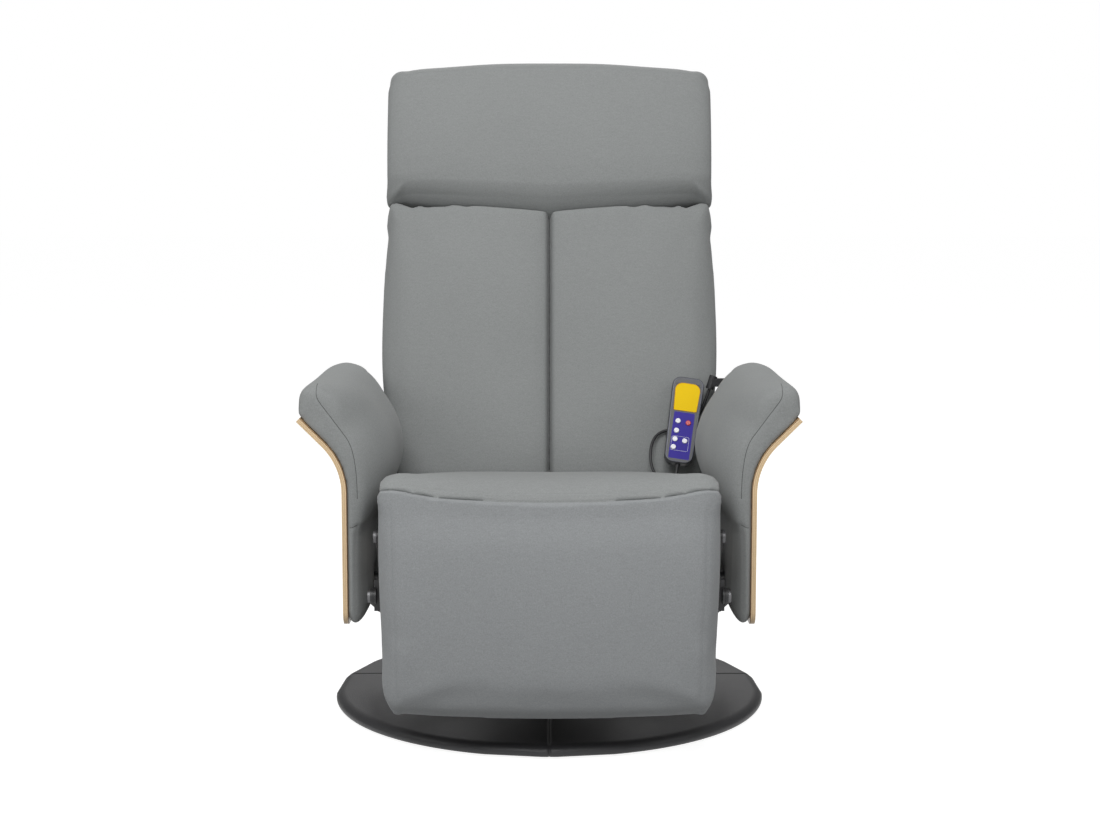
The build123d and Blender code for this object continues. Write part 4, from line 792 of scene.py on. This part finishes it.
def leg_lip(points):
    """The top edge of the leg rest's cover along the seam."""
    below = seam_height(points[:, 0]) - points[:, 2]
    return (points[:, 1] < LEG_LIP_Y) & (below < SEAM_GAP + SEAM_BAND)


inflate(leg_pad, leg_held, 2.5, 0.005)
refine(leg_pad)
snap_to(leg_pad, "leg_rest_cushion", leg_lip)
leg_places = mesh_points(leg_pad.data)
leg_across, leg_depth, leg_height = leg_places.T
below_seam = seam_height(leg_across) - SEAM_GAP - leg_height
toward_front = falling(leg_depth, leg_high[1] - LEG_REAR_BAND, LEG_REAR_BAND)
lap_share = falling(below_seam, LEG_LAP_REACH, LEG_LAP_REACH) ** 1.5
leg_height += (SEAM_GAP + SEAM_LAP) * lap_share * toward_front
lower_share = falling(leg_height, LEG_SPREAD_TOP_Z, LEG_SPREAD_REACH)
leg_across *= 1.0 + LEG_SPREAD * lower_share ** 2 * (3.0 - 2.0 * lower_share)
leg_aside = np.abs(leg_across)
leg_half = np.interp(leg_height, (leg_low[2], LEG_WAIST_Z, LEG_TOP_Z),
                     (LEG_FOOT_HALF, LEG_WAIST_HALF, LEG_TOP_HALF))
square_corners(leg_across, leg_height, leg_half, leg_low[2], -1, *LEG_CORNERS)
leg_height -= LEG_FOOT_DROP * lower_share
side_share = rising(leg_aside - leg_half, -LEG_SIDE_TURN, LEG_SIDE_TURN) ** 2
side_share *= falling(leg_depth, LEG_FRONT_Y, 0.03) * rising(below_seam, 0.0, 0.03)
leg_depth += LEG_SIDE_DEPTH * side_share
set_points(leg_pad.data, leg_places)


def leg_edge(height, side):
    """Place near the seam between front panel and side boxing at a height."""
    near = leg_places[np.abs(leg_places[:, 2] - height) < 0.006]
    reach = float(np.abs(near[:, 0]).max())
    return (side * (reach - LEG_SEAM_INSET), leg_low[1] - 0.01, height)


for side, side_name in ((-1, "right"), (1, "left")):
    side_seam = laid_on(leg_pad, [leg_edge(height, side) for height in LEG_SEAM_HEIGHTS])
    sew(leg_pad, side_seam, 0.0030, 0.0010)
    sewn_line(f"leg_rest_seam_{side_name}", leg_pad, side_seam, leg_cloth, "leg_rest", 0.0007)
dress(leg_pad, leg_cloth, "leg_rest", "leg_rest_cushion")

# Backrest: two upright foam panels under one cover, drawn in along the middle by a sewn channel.
# Behind them is a board with a thinly padded cover of the same cloth.
BACK_VOXEL = 0.005
BACK_LEAN = 16.0
BACK_FOOT = (0.0, 0.196, 0.321)
BACK_CORNERS = (0.034, 0.009)
BACK_FULLER = 1.006
BACK_FULLER_BELOW = 0.012
BACK_FOOT_FULLER = 0.07
CREASE_LIP = 0.44
CREASE_RISE = 0.007
CREASE_RISE_AT_SIDES = 0.017
CREASE_RISE_AT_CORNERS = 0.006
CREASE_REACH = 0.25
LIP_REAR = -0.064
LIP_REAR_AT_CORNERS = 0.014
CHANNEL_WIDTH = 0.0042
CHANNEL_DEPTH = 0.017
CHANNEL_CROWD = 0.030
CHANNEL_EDGE_DEPTH = 0.006
CHANNEL_EDGE_WIDTH = 0.018
# Radius of the dark strip in the channel: painted shade, much thicker than a thread.
CHANNEL_SHADE_STRIP = 0.0021
lean = Matrix.Translation(BACK_FOOT) @ Matrix.Rotation(math.radians(-BACK_LEAN), 4, "X")
leaning = np.array(lean)
upright = np.array(lean.inverted())
back_pad = padded_form("back_pad", "back_cushion", BACK_VOXEL)


def stand_up(points):
    """Places on the leaning back as if it stood upright on its foot."""
    return points @ upright[:3, :3].T + upright[:3, 3]


def lean_back(points):
    """Places on the upright back where they are on the leaning one."""
    return points @ leaning[:3, :3].T + leaning[:3, 3]


def crease_rise(across):
    """How far the crease between back and headrest climbs towards the sides."""
    return CREASE_RISE + CREASE_RISE_AT_SIDES * np.clip(np.abs(across) / CREASE_REACH, 0.0, 1.0)


def back_held(points):
    """The rear is stapled to the board, and the channel is sewn through the foam."""
    across, depth, height = stand_up(points).T
    sewn_through = (depth > -0.012) | (np.abs(across) < 0.007)
    at_ends = (height > 0.485) | (height < 0.03)
    return np.where(sewn_through, 1.0, np.where(at_ends, 0.75, 0.0))


inflate(back_pad, back_held, 3.0, 0.007, 14)
soften(back_pad, rising(stand_up(mesh_points(back_pad.data))[:, 2], CREASE_LIP, 0.02), 8)
refine(back_pad)
back_local = stand_up(mesh_points(back_pad.data))
back_across, back_depth, back_height = back_local.T
back_top = back_height[(back_depth < -0.070) & (np.abs(back_across) < 0.2)].max()
back_half = np.abs(back_across[(back_height > 0.425) & (back_height < 0.44)]).max()
square_corners(back_across, back_height, back_half, back_top, 1, *BACK_CORNERS)
back_across *= (BACK_FULLER + BACK_FULLER_BELOW * falling(back_height, 0.48, 0.12)
                + BACK_FOOT_FULLER * falling(back_height, 0.13, 0.07))
at_side = rising(np.abs(back_across), 0.245, 0.025)
lip_rear = LIP_REAR + LIP_REAR_AT_CORNERS * at_side
lip = rising(back_height, CREASE_LIP, 0.03) * falling(back_depth, lip_rear, 0.016)
corner_rise = CREASE_RISE_AT_CORNERS * rising(np.abs(back_across), 0.22, 0.05)
back_height += lip * (crease_rise(back_across) + corner_rise)
aside = np.abs(back_across)
crowded = np.where(aside < CHANNEL_CROWD, CHANNEL_CROWD * (aside / CHANNEL_CROWD) ** 1.7, aside)
back_across[:] = np.sign(back_across) * crowded
drawn_in = CHANNEL_DEPTH * np.exp(-(back_across / CHANNEL_WIDTH) ** 2)
drawn_in += CHANNEL_EDGE_DEPTH * np.exp(-(back_across / CHANNEL_EDGE_WIDTH) ** 2)
back_depth += drawn_in * falling(back_depth, -0.045, 0.01)
set_points(back_pad.data, lean_back(back_local))
soften(back_pad, rising(back_height, 0.42, 0.03) * rising(aside, 0.20, 0.03), 4)
# A thick dark strip along the bottom of the channel is painted shade that darkens the groove.
channel_shade_line = [tuple(lean @ Vector((0.0, -0.075, 0.03 + 0.47 * step / 16))) for step in range(17)]
sewn_line("back_channel_shade_strip", back_pad, channel_shade_line, seam_thread_and_shade, "backrest", CHANNEL_SHADE_STRIP)
dress(back_pad, grey_cloth, "backrest", "back_cushion")

SHELL_SEAM_HALF = 0.236
SHELL_SEAM_REAR = 0.08
SHELL_SEAM_FOOT = 0.03
SHELL_SEAM_TOP = 0.48
SHELL_SEAM_STEPS = 12
back_shell = padded_form("back_shell", "back_cover", BACK_VOXEL)
refine(back_shell)
shell_corners = [(-SHELL_SEAM_HALF, SHELL_SEAM_FOOT), (-SHELL_SEAM_HALF, SHELL_SEAM_TOP),
                 (SHELL_SEAM_HALF, SHELL_SEAM_TOP), (SHELL_SEAM_HALF, SHELL_SEAM_FOOT)]
shell_line = []
for index, (across, height) in enumerate(shell_corners):
    first = Vector((across, SHELL_SEAM_REAR, height))
    across, height = shell_corners[(index + 1) % len(shell_corners)]
    second = Vector((across, SHELL_SEAM_REAR, height))
    for step in range(SHELL_SEAM_STEPS):
        shell_line.append(tuple(lean @ first.lerp(second, step / SHELL_SEAM_STEPS)))
shell_line = laid_on(back_shell, shell_line + shell_line[:1])
sew(back_shell, shell_line, 0.0035, 0.0014)
sewn_line("back_shell_seam", back_shell, shell_line, seam_thread_and_shade, "backrest")
dress(back_shell, grey_cloth, "backrest", "back_cover")

# Headrest: a thick foam block with a crowned front under its own cover, on two friction hinges.
# Its lower edge is rounded so that it can tilt against the top of the back.
HEAD_ARCH = 0.008
HEAD_TOP_EASE = 0.006
HEAD_TOP_CORNERS = (0.040, 0.022)
HEAD_FOOT_CURVE = 0.21
HEAD_FOOT_CORNERS = (0.036, 0.009)
head_pad = padded_form("headrest_pad", "headrest_cushion", BACK_VOXEL)


def head_held(points):
    """The rounded lower edge and the rear keep their shape, and the rim gives half as much."""
    across, depth, height = stand_up(points).T
    firm = (height < 0.53) | (depth > 0.006)
    rim = (np.abs(across) > 0.262) | (height > 0.715)
    return np.where(firm, 1.0, np.where(rim, 0.5, 0.0))


inflate(head_pad, head_held, 3.0, 0.006, 14)
refine(head_pad)
head_local = stand_up(mesh_points(head_pad.data))
head_across = head_local[:, 0]
head_height = head_local[:, 2]
head_half = np.abs(head_across).max()
head_top = head_height.max()
head_foot = head_height.min()
head_height += falling(head_height, head_foot + 0.115, 0.085) * crease_rise(head_across)
foot_line = head_foot + HEAD_FOOT_CURVE * head_across ** 2 + crease_rise(head_across)
across_share = np.abs(head_across) / head_half
head_height -= HEAD_ARCH * rising(head_height, head_foot + 0.08, 0.18) * across_share ** 2
arch_top = head_top - (HEAD_TOP_EASE + HEAD_ARCH) * across_share ** 2
square_corners(head_across, head_height, head_half, arch_top, 1, *HEAD_TOP_CORNERS)
square_corners(head_across, head_height, head_half, foot_line, -1, *HEAD_FOOT_CORNERS)
set_points(head_pad.data, lean_back(head_local))
dress(head_pad, grey_cloth, "headrest", "headrest_cushion")

# Arms: a foam body around a core board, faced outside with a bent birch panel that flares out.
# A seam follows the narrow band behind the panel's front edge, and another crosses it lower down.
# The foam is thin over the board, so the form is filled where the board lies and kept over it.
WOOD_INNER_X = 0.313
ARM_VOXEL = 0.005
ARM_BEND_RADIUS = 0.112
ARM_BEND_CENTRE = (0.425, 0.392)
ARM_CORE_ROOM = ((0.3005, -0.2155, 0.1995), (0.3125, 0.0965, 0.3505))
ARM_CORE_SEARCH = ((-0.020, -0.006, -0.006), (-0.006, 0.006, 0.006))
ARM_CORE_COVER_X = 0.2992
ARM_HEAD_CENTRE = (0.345, 0.515)
ARM_HEAD_ANGLES = (0.0, 19.0, 31.0, 43.0, 54.0, 67.0, 81.0, 97.0)
ARM_HEAD_REACHES = (0.0425, 0.0460, 0.0490, 0.0510, 0.0512, 0.0492, 0.0464, 0.0448)
ARM_HEAD_ENDS = (-12.0, 130.0)
ARM_MIDDLE_Y = -0.03
ARM_MIDDLE_HALF = 0.12
ARM_FOOT_RAISE = 0.009
ARM_FOOT_SHIFT = 0.006
ARM_FRONT_TURN = 0.020


def arm_held(points):
    """Cloth is stapled along the birch panel and held by the core board."""
    across, depth, height = points.T
    beside = (across > WOOD_INNER_X - 0.022) & (height < ARM_BEND_CENTRE[1])
    from_centre = np.hypot(across - ARM_BEND_CENTRE[0], height - ARM_BEND_CENTRE[1])
    on_flare = (from_centre < ARM_BEND_RADIUS + 0.010) & (height >= ARM_BEND_CENTRE[1])
    return np.where(beside | on_flare, 1.0, 0.0)


left_arm = padded_form("arm_body_left", "arm_pad_left", ARM_VOXEL, ARM_CORE_ROOM)
inflate(left_arm, arm_held, 2.5, 0.005, 14)
wood_side = cad["arm_wood_panel_left"]
from_wood = np.array([(wood_side.closest_point_on_mesh(place.co)[1] - place.co).length
                      for place in left_arm.data.vertices])
soften(left_arm, rising(from_wood, 0.006, 0.012), 22)
refine(left_arm)
arm_places = mesh_points(left_arm.data)
arm_across, arm_depth, arm_height = arm_places.T
head_x = arm_across - ARM_HEAD_CENTRE[0]
head_z = arm_height - ARM_HEAD_CENTRE[1]
head_angle = np.degrees(np.arctan2(head_z, head_x))
head_reach = np.hypot(head_x, head_z)
in_middle = np.abs(arm_depth - ARM_MIDDLE_Y) < ARM_MIDDLE_HALF
head_shares = [1.0]
for angle, reach in zip(ARM_HEAD_ANGLES, ARM_HEAD_REACHES):
    head_shares.append(reach / head_reach[in_middle & (np.abs(head_angle - angle) < 3.0)].max())
head_shares.append(1.0)
head_angles = (ARM_HEAD_ENDS[0], *ARM_HEAD_ANGLES, ARM_HEAD_ENDS[1])
head_scale = np.interp(head_angle, head_angles, head_shares)
arm_across[:] = ARM_HEAD_CENTRE[0] + head_x * head_scale
arm_height[:] = ARM_HEAD_CENTRE[1] + head_z * head_scale
near_foot = falling(arm_height, 0.25, 0.08)
inner_side = falling(arm_across, 0.309, 0.022)
arm_across -= ARM_FOOT_SHIFT * near_foot * inner_side
arm_height += ARM_FOOT_RAISE * near_foot
front_foot = falling(arm_height, 0.345, 0.02) * falling(arm_depth, -0.215, 0.03)
arm_depth += ARM_FRONT_TURN * front_foot * inner_side ** 2
core_low, core_high = np.array(ARM_CORE_ROOM) + ARM_CORE_SEARCH
over_core = np.all((arm_places > core_low) & (arm_places < core_high), axis=1)
arm_across[over_core] = np.minimum(arm_across[over_core], ARM_CORE_COVER_X)
set_points(left_arm.data, arm_places)
soften(left_arm, np.ones(len(arm_places)), 3)


def mirrored(name, piece):
    """The same piece for the other side."""
    made = bpy.data.objects.new(name, piece.data.copy())
    scene.collection.objects.link(made)
    made.data.transform(Matrix.Scale(-1.0, 4, (1.0, 0.0, 0.0)))
    if made.type == "MESH":
        made.data.flip_normals()
    return made


ARM_SEAMS = {
    "band": ((0.3590, -0.225, 0.570), (0.3580, -0.255, 0.556), (0.3574, -0.262, 0.541),
             (0.3467, -0.262, 0.5257), (0.3344, -0.262, 0.5103), (0.3191, -0.262, 0.4918),
             (0.3068, -0.262, 0.4763), (0.3007, -0.262, 0.4577), (0.2976, -0.262, 0.4377),
             (0.2953, -0.262, 0.4114), (0.2945, -0.262, 0.3836)),
    "cross": ((0.290, -0.262, 0.339), (0.303, -0.265, 0.338), (0.314, -0.265, 0.338)),
    "foot": ((0.2915, -0.262, 0.338), (0.293, -0.262, 0.300), (0.295, -0.262, 0.250),
             (0.298, -0.262, 0.205)),
}
ARM_THREADED_SEAMS = ("band", "cross")
ARM_THREAD = 0.0005
arm_seams = {}
for seam_name, seam in ARM_SEAMS.items():
    arm_seams[seam_name] = laid_on(left_arm, seam)
    sew(left_arm, arm_seams[seam_name], 0.0028, 0.0008)
for seam_name in ARM_THREADED_SEAMS:
    left_seam = sewn_line(f"arm_{seam_name}_seam_left", left_arm, arm_seams[seam_name], seam_thread_and_shade, "seat",
                          ARM_THREAD)
    right_seam = mirrored(f"arm_{seam_name}_seam_right", left_seam)
    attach(right_seam, "seat")
right_arm = mirrored("arm_body_right", left_arm)
dress(left_arm, grey_cloth, "seat", "arm_pad_left")
dress(right_arm, grey_cloth, "seat", "arm_pad_right")

# Arm panels: birch veneers glued over a form, bent outward at the top, rounded at the lower corners.
# The cut edges show the veneers as pale and darker lines, and a brown glue line next to the cloth.
def birch_finish(name):
    """Clear-lacquered birch: pale figure along the panel, darker line at the ply under the face."""
    material, tree, shader = new_finish(name, 0.38)
    figure = noise_on(tree, 14.0, 7.0, (6.0, 0.5, 6.0), 0.6)
    pores = noise_on(tree, 260.0, 3.0, (1.0, 0.05, 1.0), 0.7)
    both = sum_of(tree, figure, pores, 0.3)
    colour_from(tree, shader, both, (0.52, 0.33, 0.16), (0.74, 0.53, 0.3))
    shader.inputs["Coat Weight"].default_value = 0.35
    shader.inputs["Coat Roughness"].default_value = 0.3
    raise_by(tree, shader, pores, 0.00008)
    return material


def veneer_finish(name, shade):
    """Cut edge of one veneer: end grain in short dark flecks under clear lacquer."""
    material, tree, shader = new_finish(name, 0.45)
    flecks = noise_on(tree, 700.0, 3.0, (1.0, 0.2, 1.0), 0.7)
    darker = shaded(shade, 0.82)
    colour_from(tree, shader, flecks, darker, shade)
    shader.inputs["Coat Weight"].default_value = 0.25
    raise_by(tree, shader, flecks, 0.00006)
    return material


PANEL_X = 0.321
PANEL_BEND_Z = 0.392
PANEL_BEND_RADIUS = 0.104
PANEL_FLARE_LENGTH = 0.054
PANEL_FLARE_ANGLE = math.radians(45.0)
PANEL_CORNER = 0.024
PANEL_FOOT_DROP = 0.006
PANEL_CORNER_ROWS = 10
PANEL_STRAIGHT_ROWS = 12
PANEL_BEND_ROWS = 16
PANEL_FLARE_ROWS = 7
PANEL_COLUMNS = 12
PANEL_EDGE_ROUNDING = 0.0006
VENEER_DEPTHS = (0.0, 0.0016, 0.0026, 0.0042, 0.0052, 0.0070, 0.0080)
VENEER_SLOTS = (1, 2, 1, 2, 1, 3)
panel_finishes = [
    birch_finish("lacquered_birch"),
    veneer_finish("pale_veneer", (0.80, 0.60, 0.36)),
    veneer_finish("tan_veneer", (0.62, 0.42, 0.22)),
    veneer_finish("glue_line", (0.22, 0.10, 0.035)),
]
panel_low, panel_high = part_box("arm_wood_panel_left")
panel_foot = panel_low[2] - PANEL_FOOT_DROP
inward = (-1.0, 0.0)
panel_rows = []
for step in range(PANEL_CORNER_ROWS + 1):
    turn = math.radians(90.0) * step / PANEL_CORNER_ROWS
    height = panel_foot + PANEL_CORNER * (1.0 - math.cos(turn))
    panel_rows.append((PANEL_X, height, inward, PANEL_CORNER * (1.0 - math.sin(turn))))
straight_foot = panel_foot + PANEL_CORNER
for step in range(1, PANEL_STRAIGHT_ROWS + 1):
    height = straight_foot + (PANEL_BEND_Z - straight_foot) * step / PANEL_STRAIGHT_ROWS
    panel_rows.append((PANEL_X, height, inward, 0.0))
for step in range(1, PANEL_BEND_ROWS + 1):
    turn = PANEL_FLARE_ANGLE * step / PANEL_BEND_ROWS
    panel_rows.append((PANEL_X + PANEL_BEND_RADIUS * (1.0 - math.cos(turn)),
                       PANEL_BEND_Z + PANEL_BEND_RADIUS * math.sin(turn),
                       (-math.cos(turn), math.sin(turn)), 0.0))
bend_x, bend_z, flare_normal = panel_rows[-1][:3]
for step in range(1, PANEL_FLARE_ROWS + 1):
    length = PANEL_FLARE_LENGTH * step / PANEL_FLARE_ROWS
    panel_rows.append((bend_x + length * math.sin(PANEL_FLARE_ANGLE),
                       bend_z + length * math.cos(PANEL_FLARE_ANGLE), flare_normal, 0.0))
panel_form = bmesh.new()
panel_grid = []
for row_x, row_z, normal, inset in panel_rows:
    front_y = panel_low[1] + inset
    length = panel_high[1] - inset - front_y
    columns = [front_y + length * column / PANEL_COLUMNS for column in range(PANEL_COLUMNS + 1)]
    panel_grid.append([[panel_form.verts.new((row_x + normal[0] * depth, place, row_z + normal[1] * depth))
                        for place in columns] for depth in VENEER_DEPTHS])


def panel_strips(first, second, finish):
    """Faces between two lines of points on the panel, with one finish."""
    for index in range(len(first) - 1):
        face = panel_form.faces.new((first[index], first[index + 1], second[index + 1], second[index]))
        face.material_index = finish


for lower, upper in zip(panel_grid[:-1], panel_grid[1:]):
    for layer in (0, -1):
        panel_strips(lower[layer], upper[layer], 0)
    for column in (0, -1):
        for layer, finish in enumerate(VENEER_SLOTS):
            panel_strips((lower[layer][column], lower[layer + 1][column]),
                         (upper[layer][column], upper[layer + 1][column]), finish)
for row in (panel_grid[0], panel_grid[-1]):
    for layer, finish in enumerate(VENEER_SLOTS):
        panel_strips(row[layer], row[layer + 1], finish)
left_panel = piece_from(panel_form, "arm_panel_left", panel_finishes)
smooth_faces(left_panel.data)
left_panel.data.set_sharp_from_angle(angle=0.6)
for side_name, panel in (("left", left_panel), ("right", mirrored("arm_panel_right", left_panel))):
    softened = panel.modifiers.new("softened", "BEVEL")
    softened.width = PANEL_EDGE_ROUNDING
    softened.segments = 2
    softened.limit_method = "ANGLE"
    softened.angle_limit = math.radians(50.0)
    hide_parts(f"arm_wood_panel_{side_name}")
    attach(panel, "seat")

# Massage control box on the swivel plate: a moulded case with a screwed lid over a circuit board.
# Its mains lead can be unplugged and isn't part of the chair, so only the inlet is made.
black_case = moulded_plastic("black_case", (0.022, 0.022, 0.024), 0.48)
green_board = moulded_plastic("solder_mask", (0.01, 0.09, 0.03), 0.3)
coat("control_box", black_case)
coat("control_box_lid", black_case)
coat("control_board", green_board)

# Handset: two moulded half shells with a yellow window panel, a violet button panel, five pale
# buttons and a red one; a circuit board inside and a short strain relief at the foot.
def film_finish(name, shade):
    """Printed film under a satin clear coat, with a faint grain."""
    material, tree, shader = new_finish(name, 0.55)
    grain = noise_on(tree, 1800.0, 2.0)
    darker = shaded(shade, 0.92)
    colour_from(tree, shader, grain, darker, shade)
    shader.inputs["Specular IOR Level"].default_value = 0.12
    raise_by(tree, shader, grain, 0.00002)
    return material


handset_grey = moulded_plastic("handset_grey", (0.075, 0.078, 0.086), 0.45)
coat("handset_front_case", handset_grey)
coat("handset_back_case", handset_grey)
coat("handset_circuit_board", green_board)
coat("handset_button_overlay", film_finish("violet_panel", (0.055, 0.040, 0.33)))
pale_button = moulded_plastic("pale_button", (0.86, 0.86, 0.9), 0.3, 0.00002)
red_button = moulded_plastic("red_button", (0.62, 0.03, 0.025), 0.3, 0.00002)
for button in ("mode", "speed", "upper", "lower", "timer"):
    coat(f"handset_button_{button}", pale_button)
coat("handset_button_power", red_button)
coat("handset_strain_relief", black_sheath)
coat("handset_cord_socket", black_case)
HANDSET_PLACE = (0.221, 0.094, 0.383)
HANDSET_LEAN = 24.0
HANDSET_ROLL = 8.6
HANDSET_FRONT = -0.021
hand_space = (Matrix.Translation(HANDSET_PLACE) @ Matrix.Rotation(math.radians(-HANDSET_LEAN), 4, "X")
              @ Matrix.Rotation(math.radians(HANDSET_ROLL), 4, "Y"))


def loop_of(corners, radii, steps=6):
    """Closed outline with rounded corners, from corners given anticlockwise in X and Z."""
    places = []
    for index, (corner, radius) in enumerate(zip(corners, radii)):
        here = Vector(corner)
        before = (Vector(corners[index - 1]) - here).normalized()
        after = (Vector(corners[(index + 1) % len(corners)]) - here).normalized()
        half = before.angle(after) / 2
        run = radius / math.tan(half)
        centre = here + (before + after).normalized() * (radius / math.sin(half))
        start = here + before * run - centre
        turn = here + after * run - centre
        sweep = start.angle_signed(turn)
        for step in range(steps + 1):
            spun = Matrix.Rotation(-sweep * step / steps, 2) @ start
            places.append(centre + spun)
    return places


def raised_line(name, corners, radii, thickness, height, material):
    """Thin raised line on the handset's front along a rounded outline."""
    places = [hand_space @ Vector((place.x, HANDSET_FRONT - height, place.y))
              for place in loop_of(corners, radii)]
    thin_line(name, places, thickness / 2, 3, material, "seat", closed=True)


rim_grey = moulded_plastic("handset_rim", (0.20, 0.205, 0.27), 0.4)
white_line = film_finish("white_line", (0.72, 0.72, 0.82))
amber_line = film_finish("amber_line", (0.80, 0.40, 0.0))
RIM_CORNERS = ((-0.0222, 0.0025), (0.0222, 0.0025), (0.0256, 0.1535), (-0.0256, 0.1535))
FRAME_CORNERS = ((-0.0160, 0.0215), (0.0135, 0.0215), (0.0135, 0.0470), (-0.0160, 0.0470))
WINDOW_CORNERS = ((-0.0196, 0.0940), (0.0196, 0.0940), (0.0222, 0.1440), (-0.0222, 0.1440))
WINDOW_RADII = (0.0015, 0.0015, 0.0125, 0.0125)
raised_line("handset_rim_line", RIM_CORNERS, (0.0125,) * 4, 0.0020, -0.0010, rim_grey)
raised_line("handset_button_frame", FRAME_CORNERS, (0.003,) * 4, 0.0006, 0.0, white_line)
raised_line("handset_window_frame", WINDOW_CORNERS, WINDOW_RADII, 0.0009, 0.0003, amber_line)
WINDOW_PROUD = 0.0003
WINDOW_SUNK = 0.0010
window_form = bmesh.new()
window_rings = []
for depth in (HANDSET_FRONT - WINDOW_PROUD, HANDSET_FRONT + WINDOW_SUNK):
    window_rings.append([window_form.verts.new(hand_space @ Vector((place.x, depth, place.y)))
                         for place in loop_of(WINDOW_CORNERS, WINDOW_RADII)])
for ring in window_rings:
    window_form.faces.new(ring)
for index in range(len(window_rings[0])):
    window_form.faces.new((window_rings[0][index - 1], window_rings[0][index],
                           window_rings[1][index], window_rings[1][index - 1]))
yellow_panel = film_finish("yellow_panel", (0.90, 0.60, 0.003))
window_panel = piece_from(window_form, "handset_window_panel", [yellow_panel])
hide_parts("handset_window")
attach(window_panel, "seat")
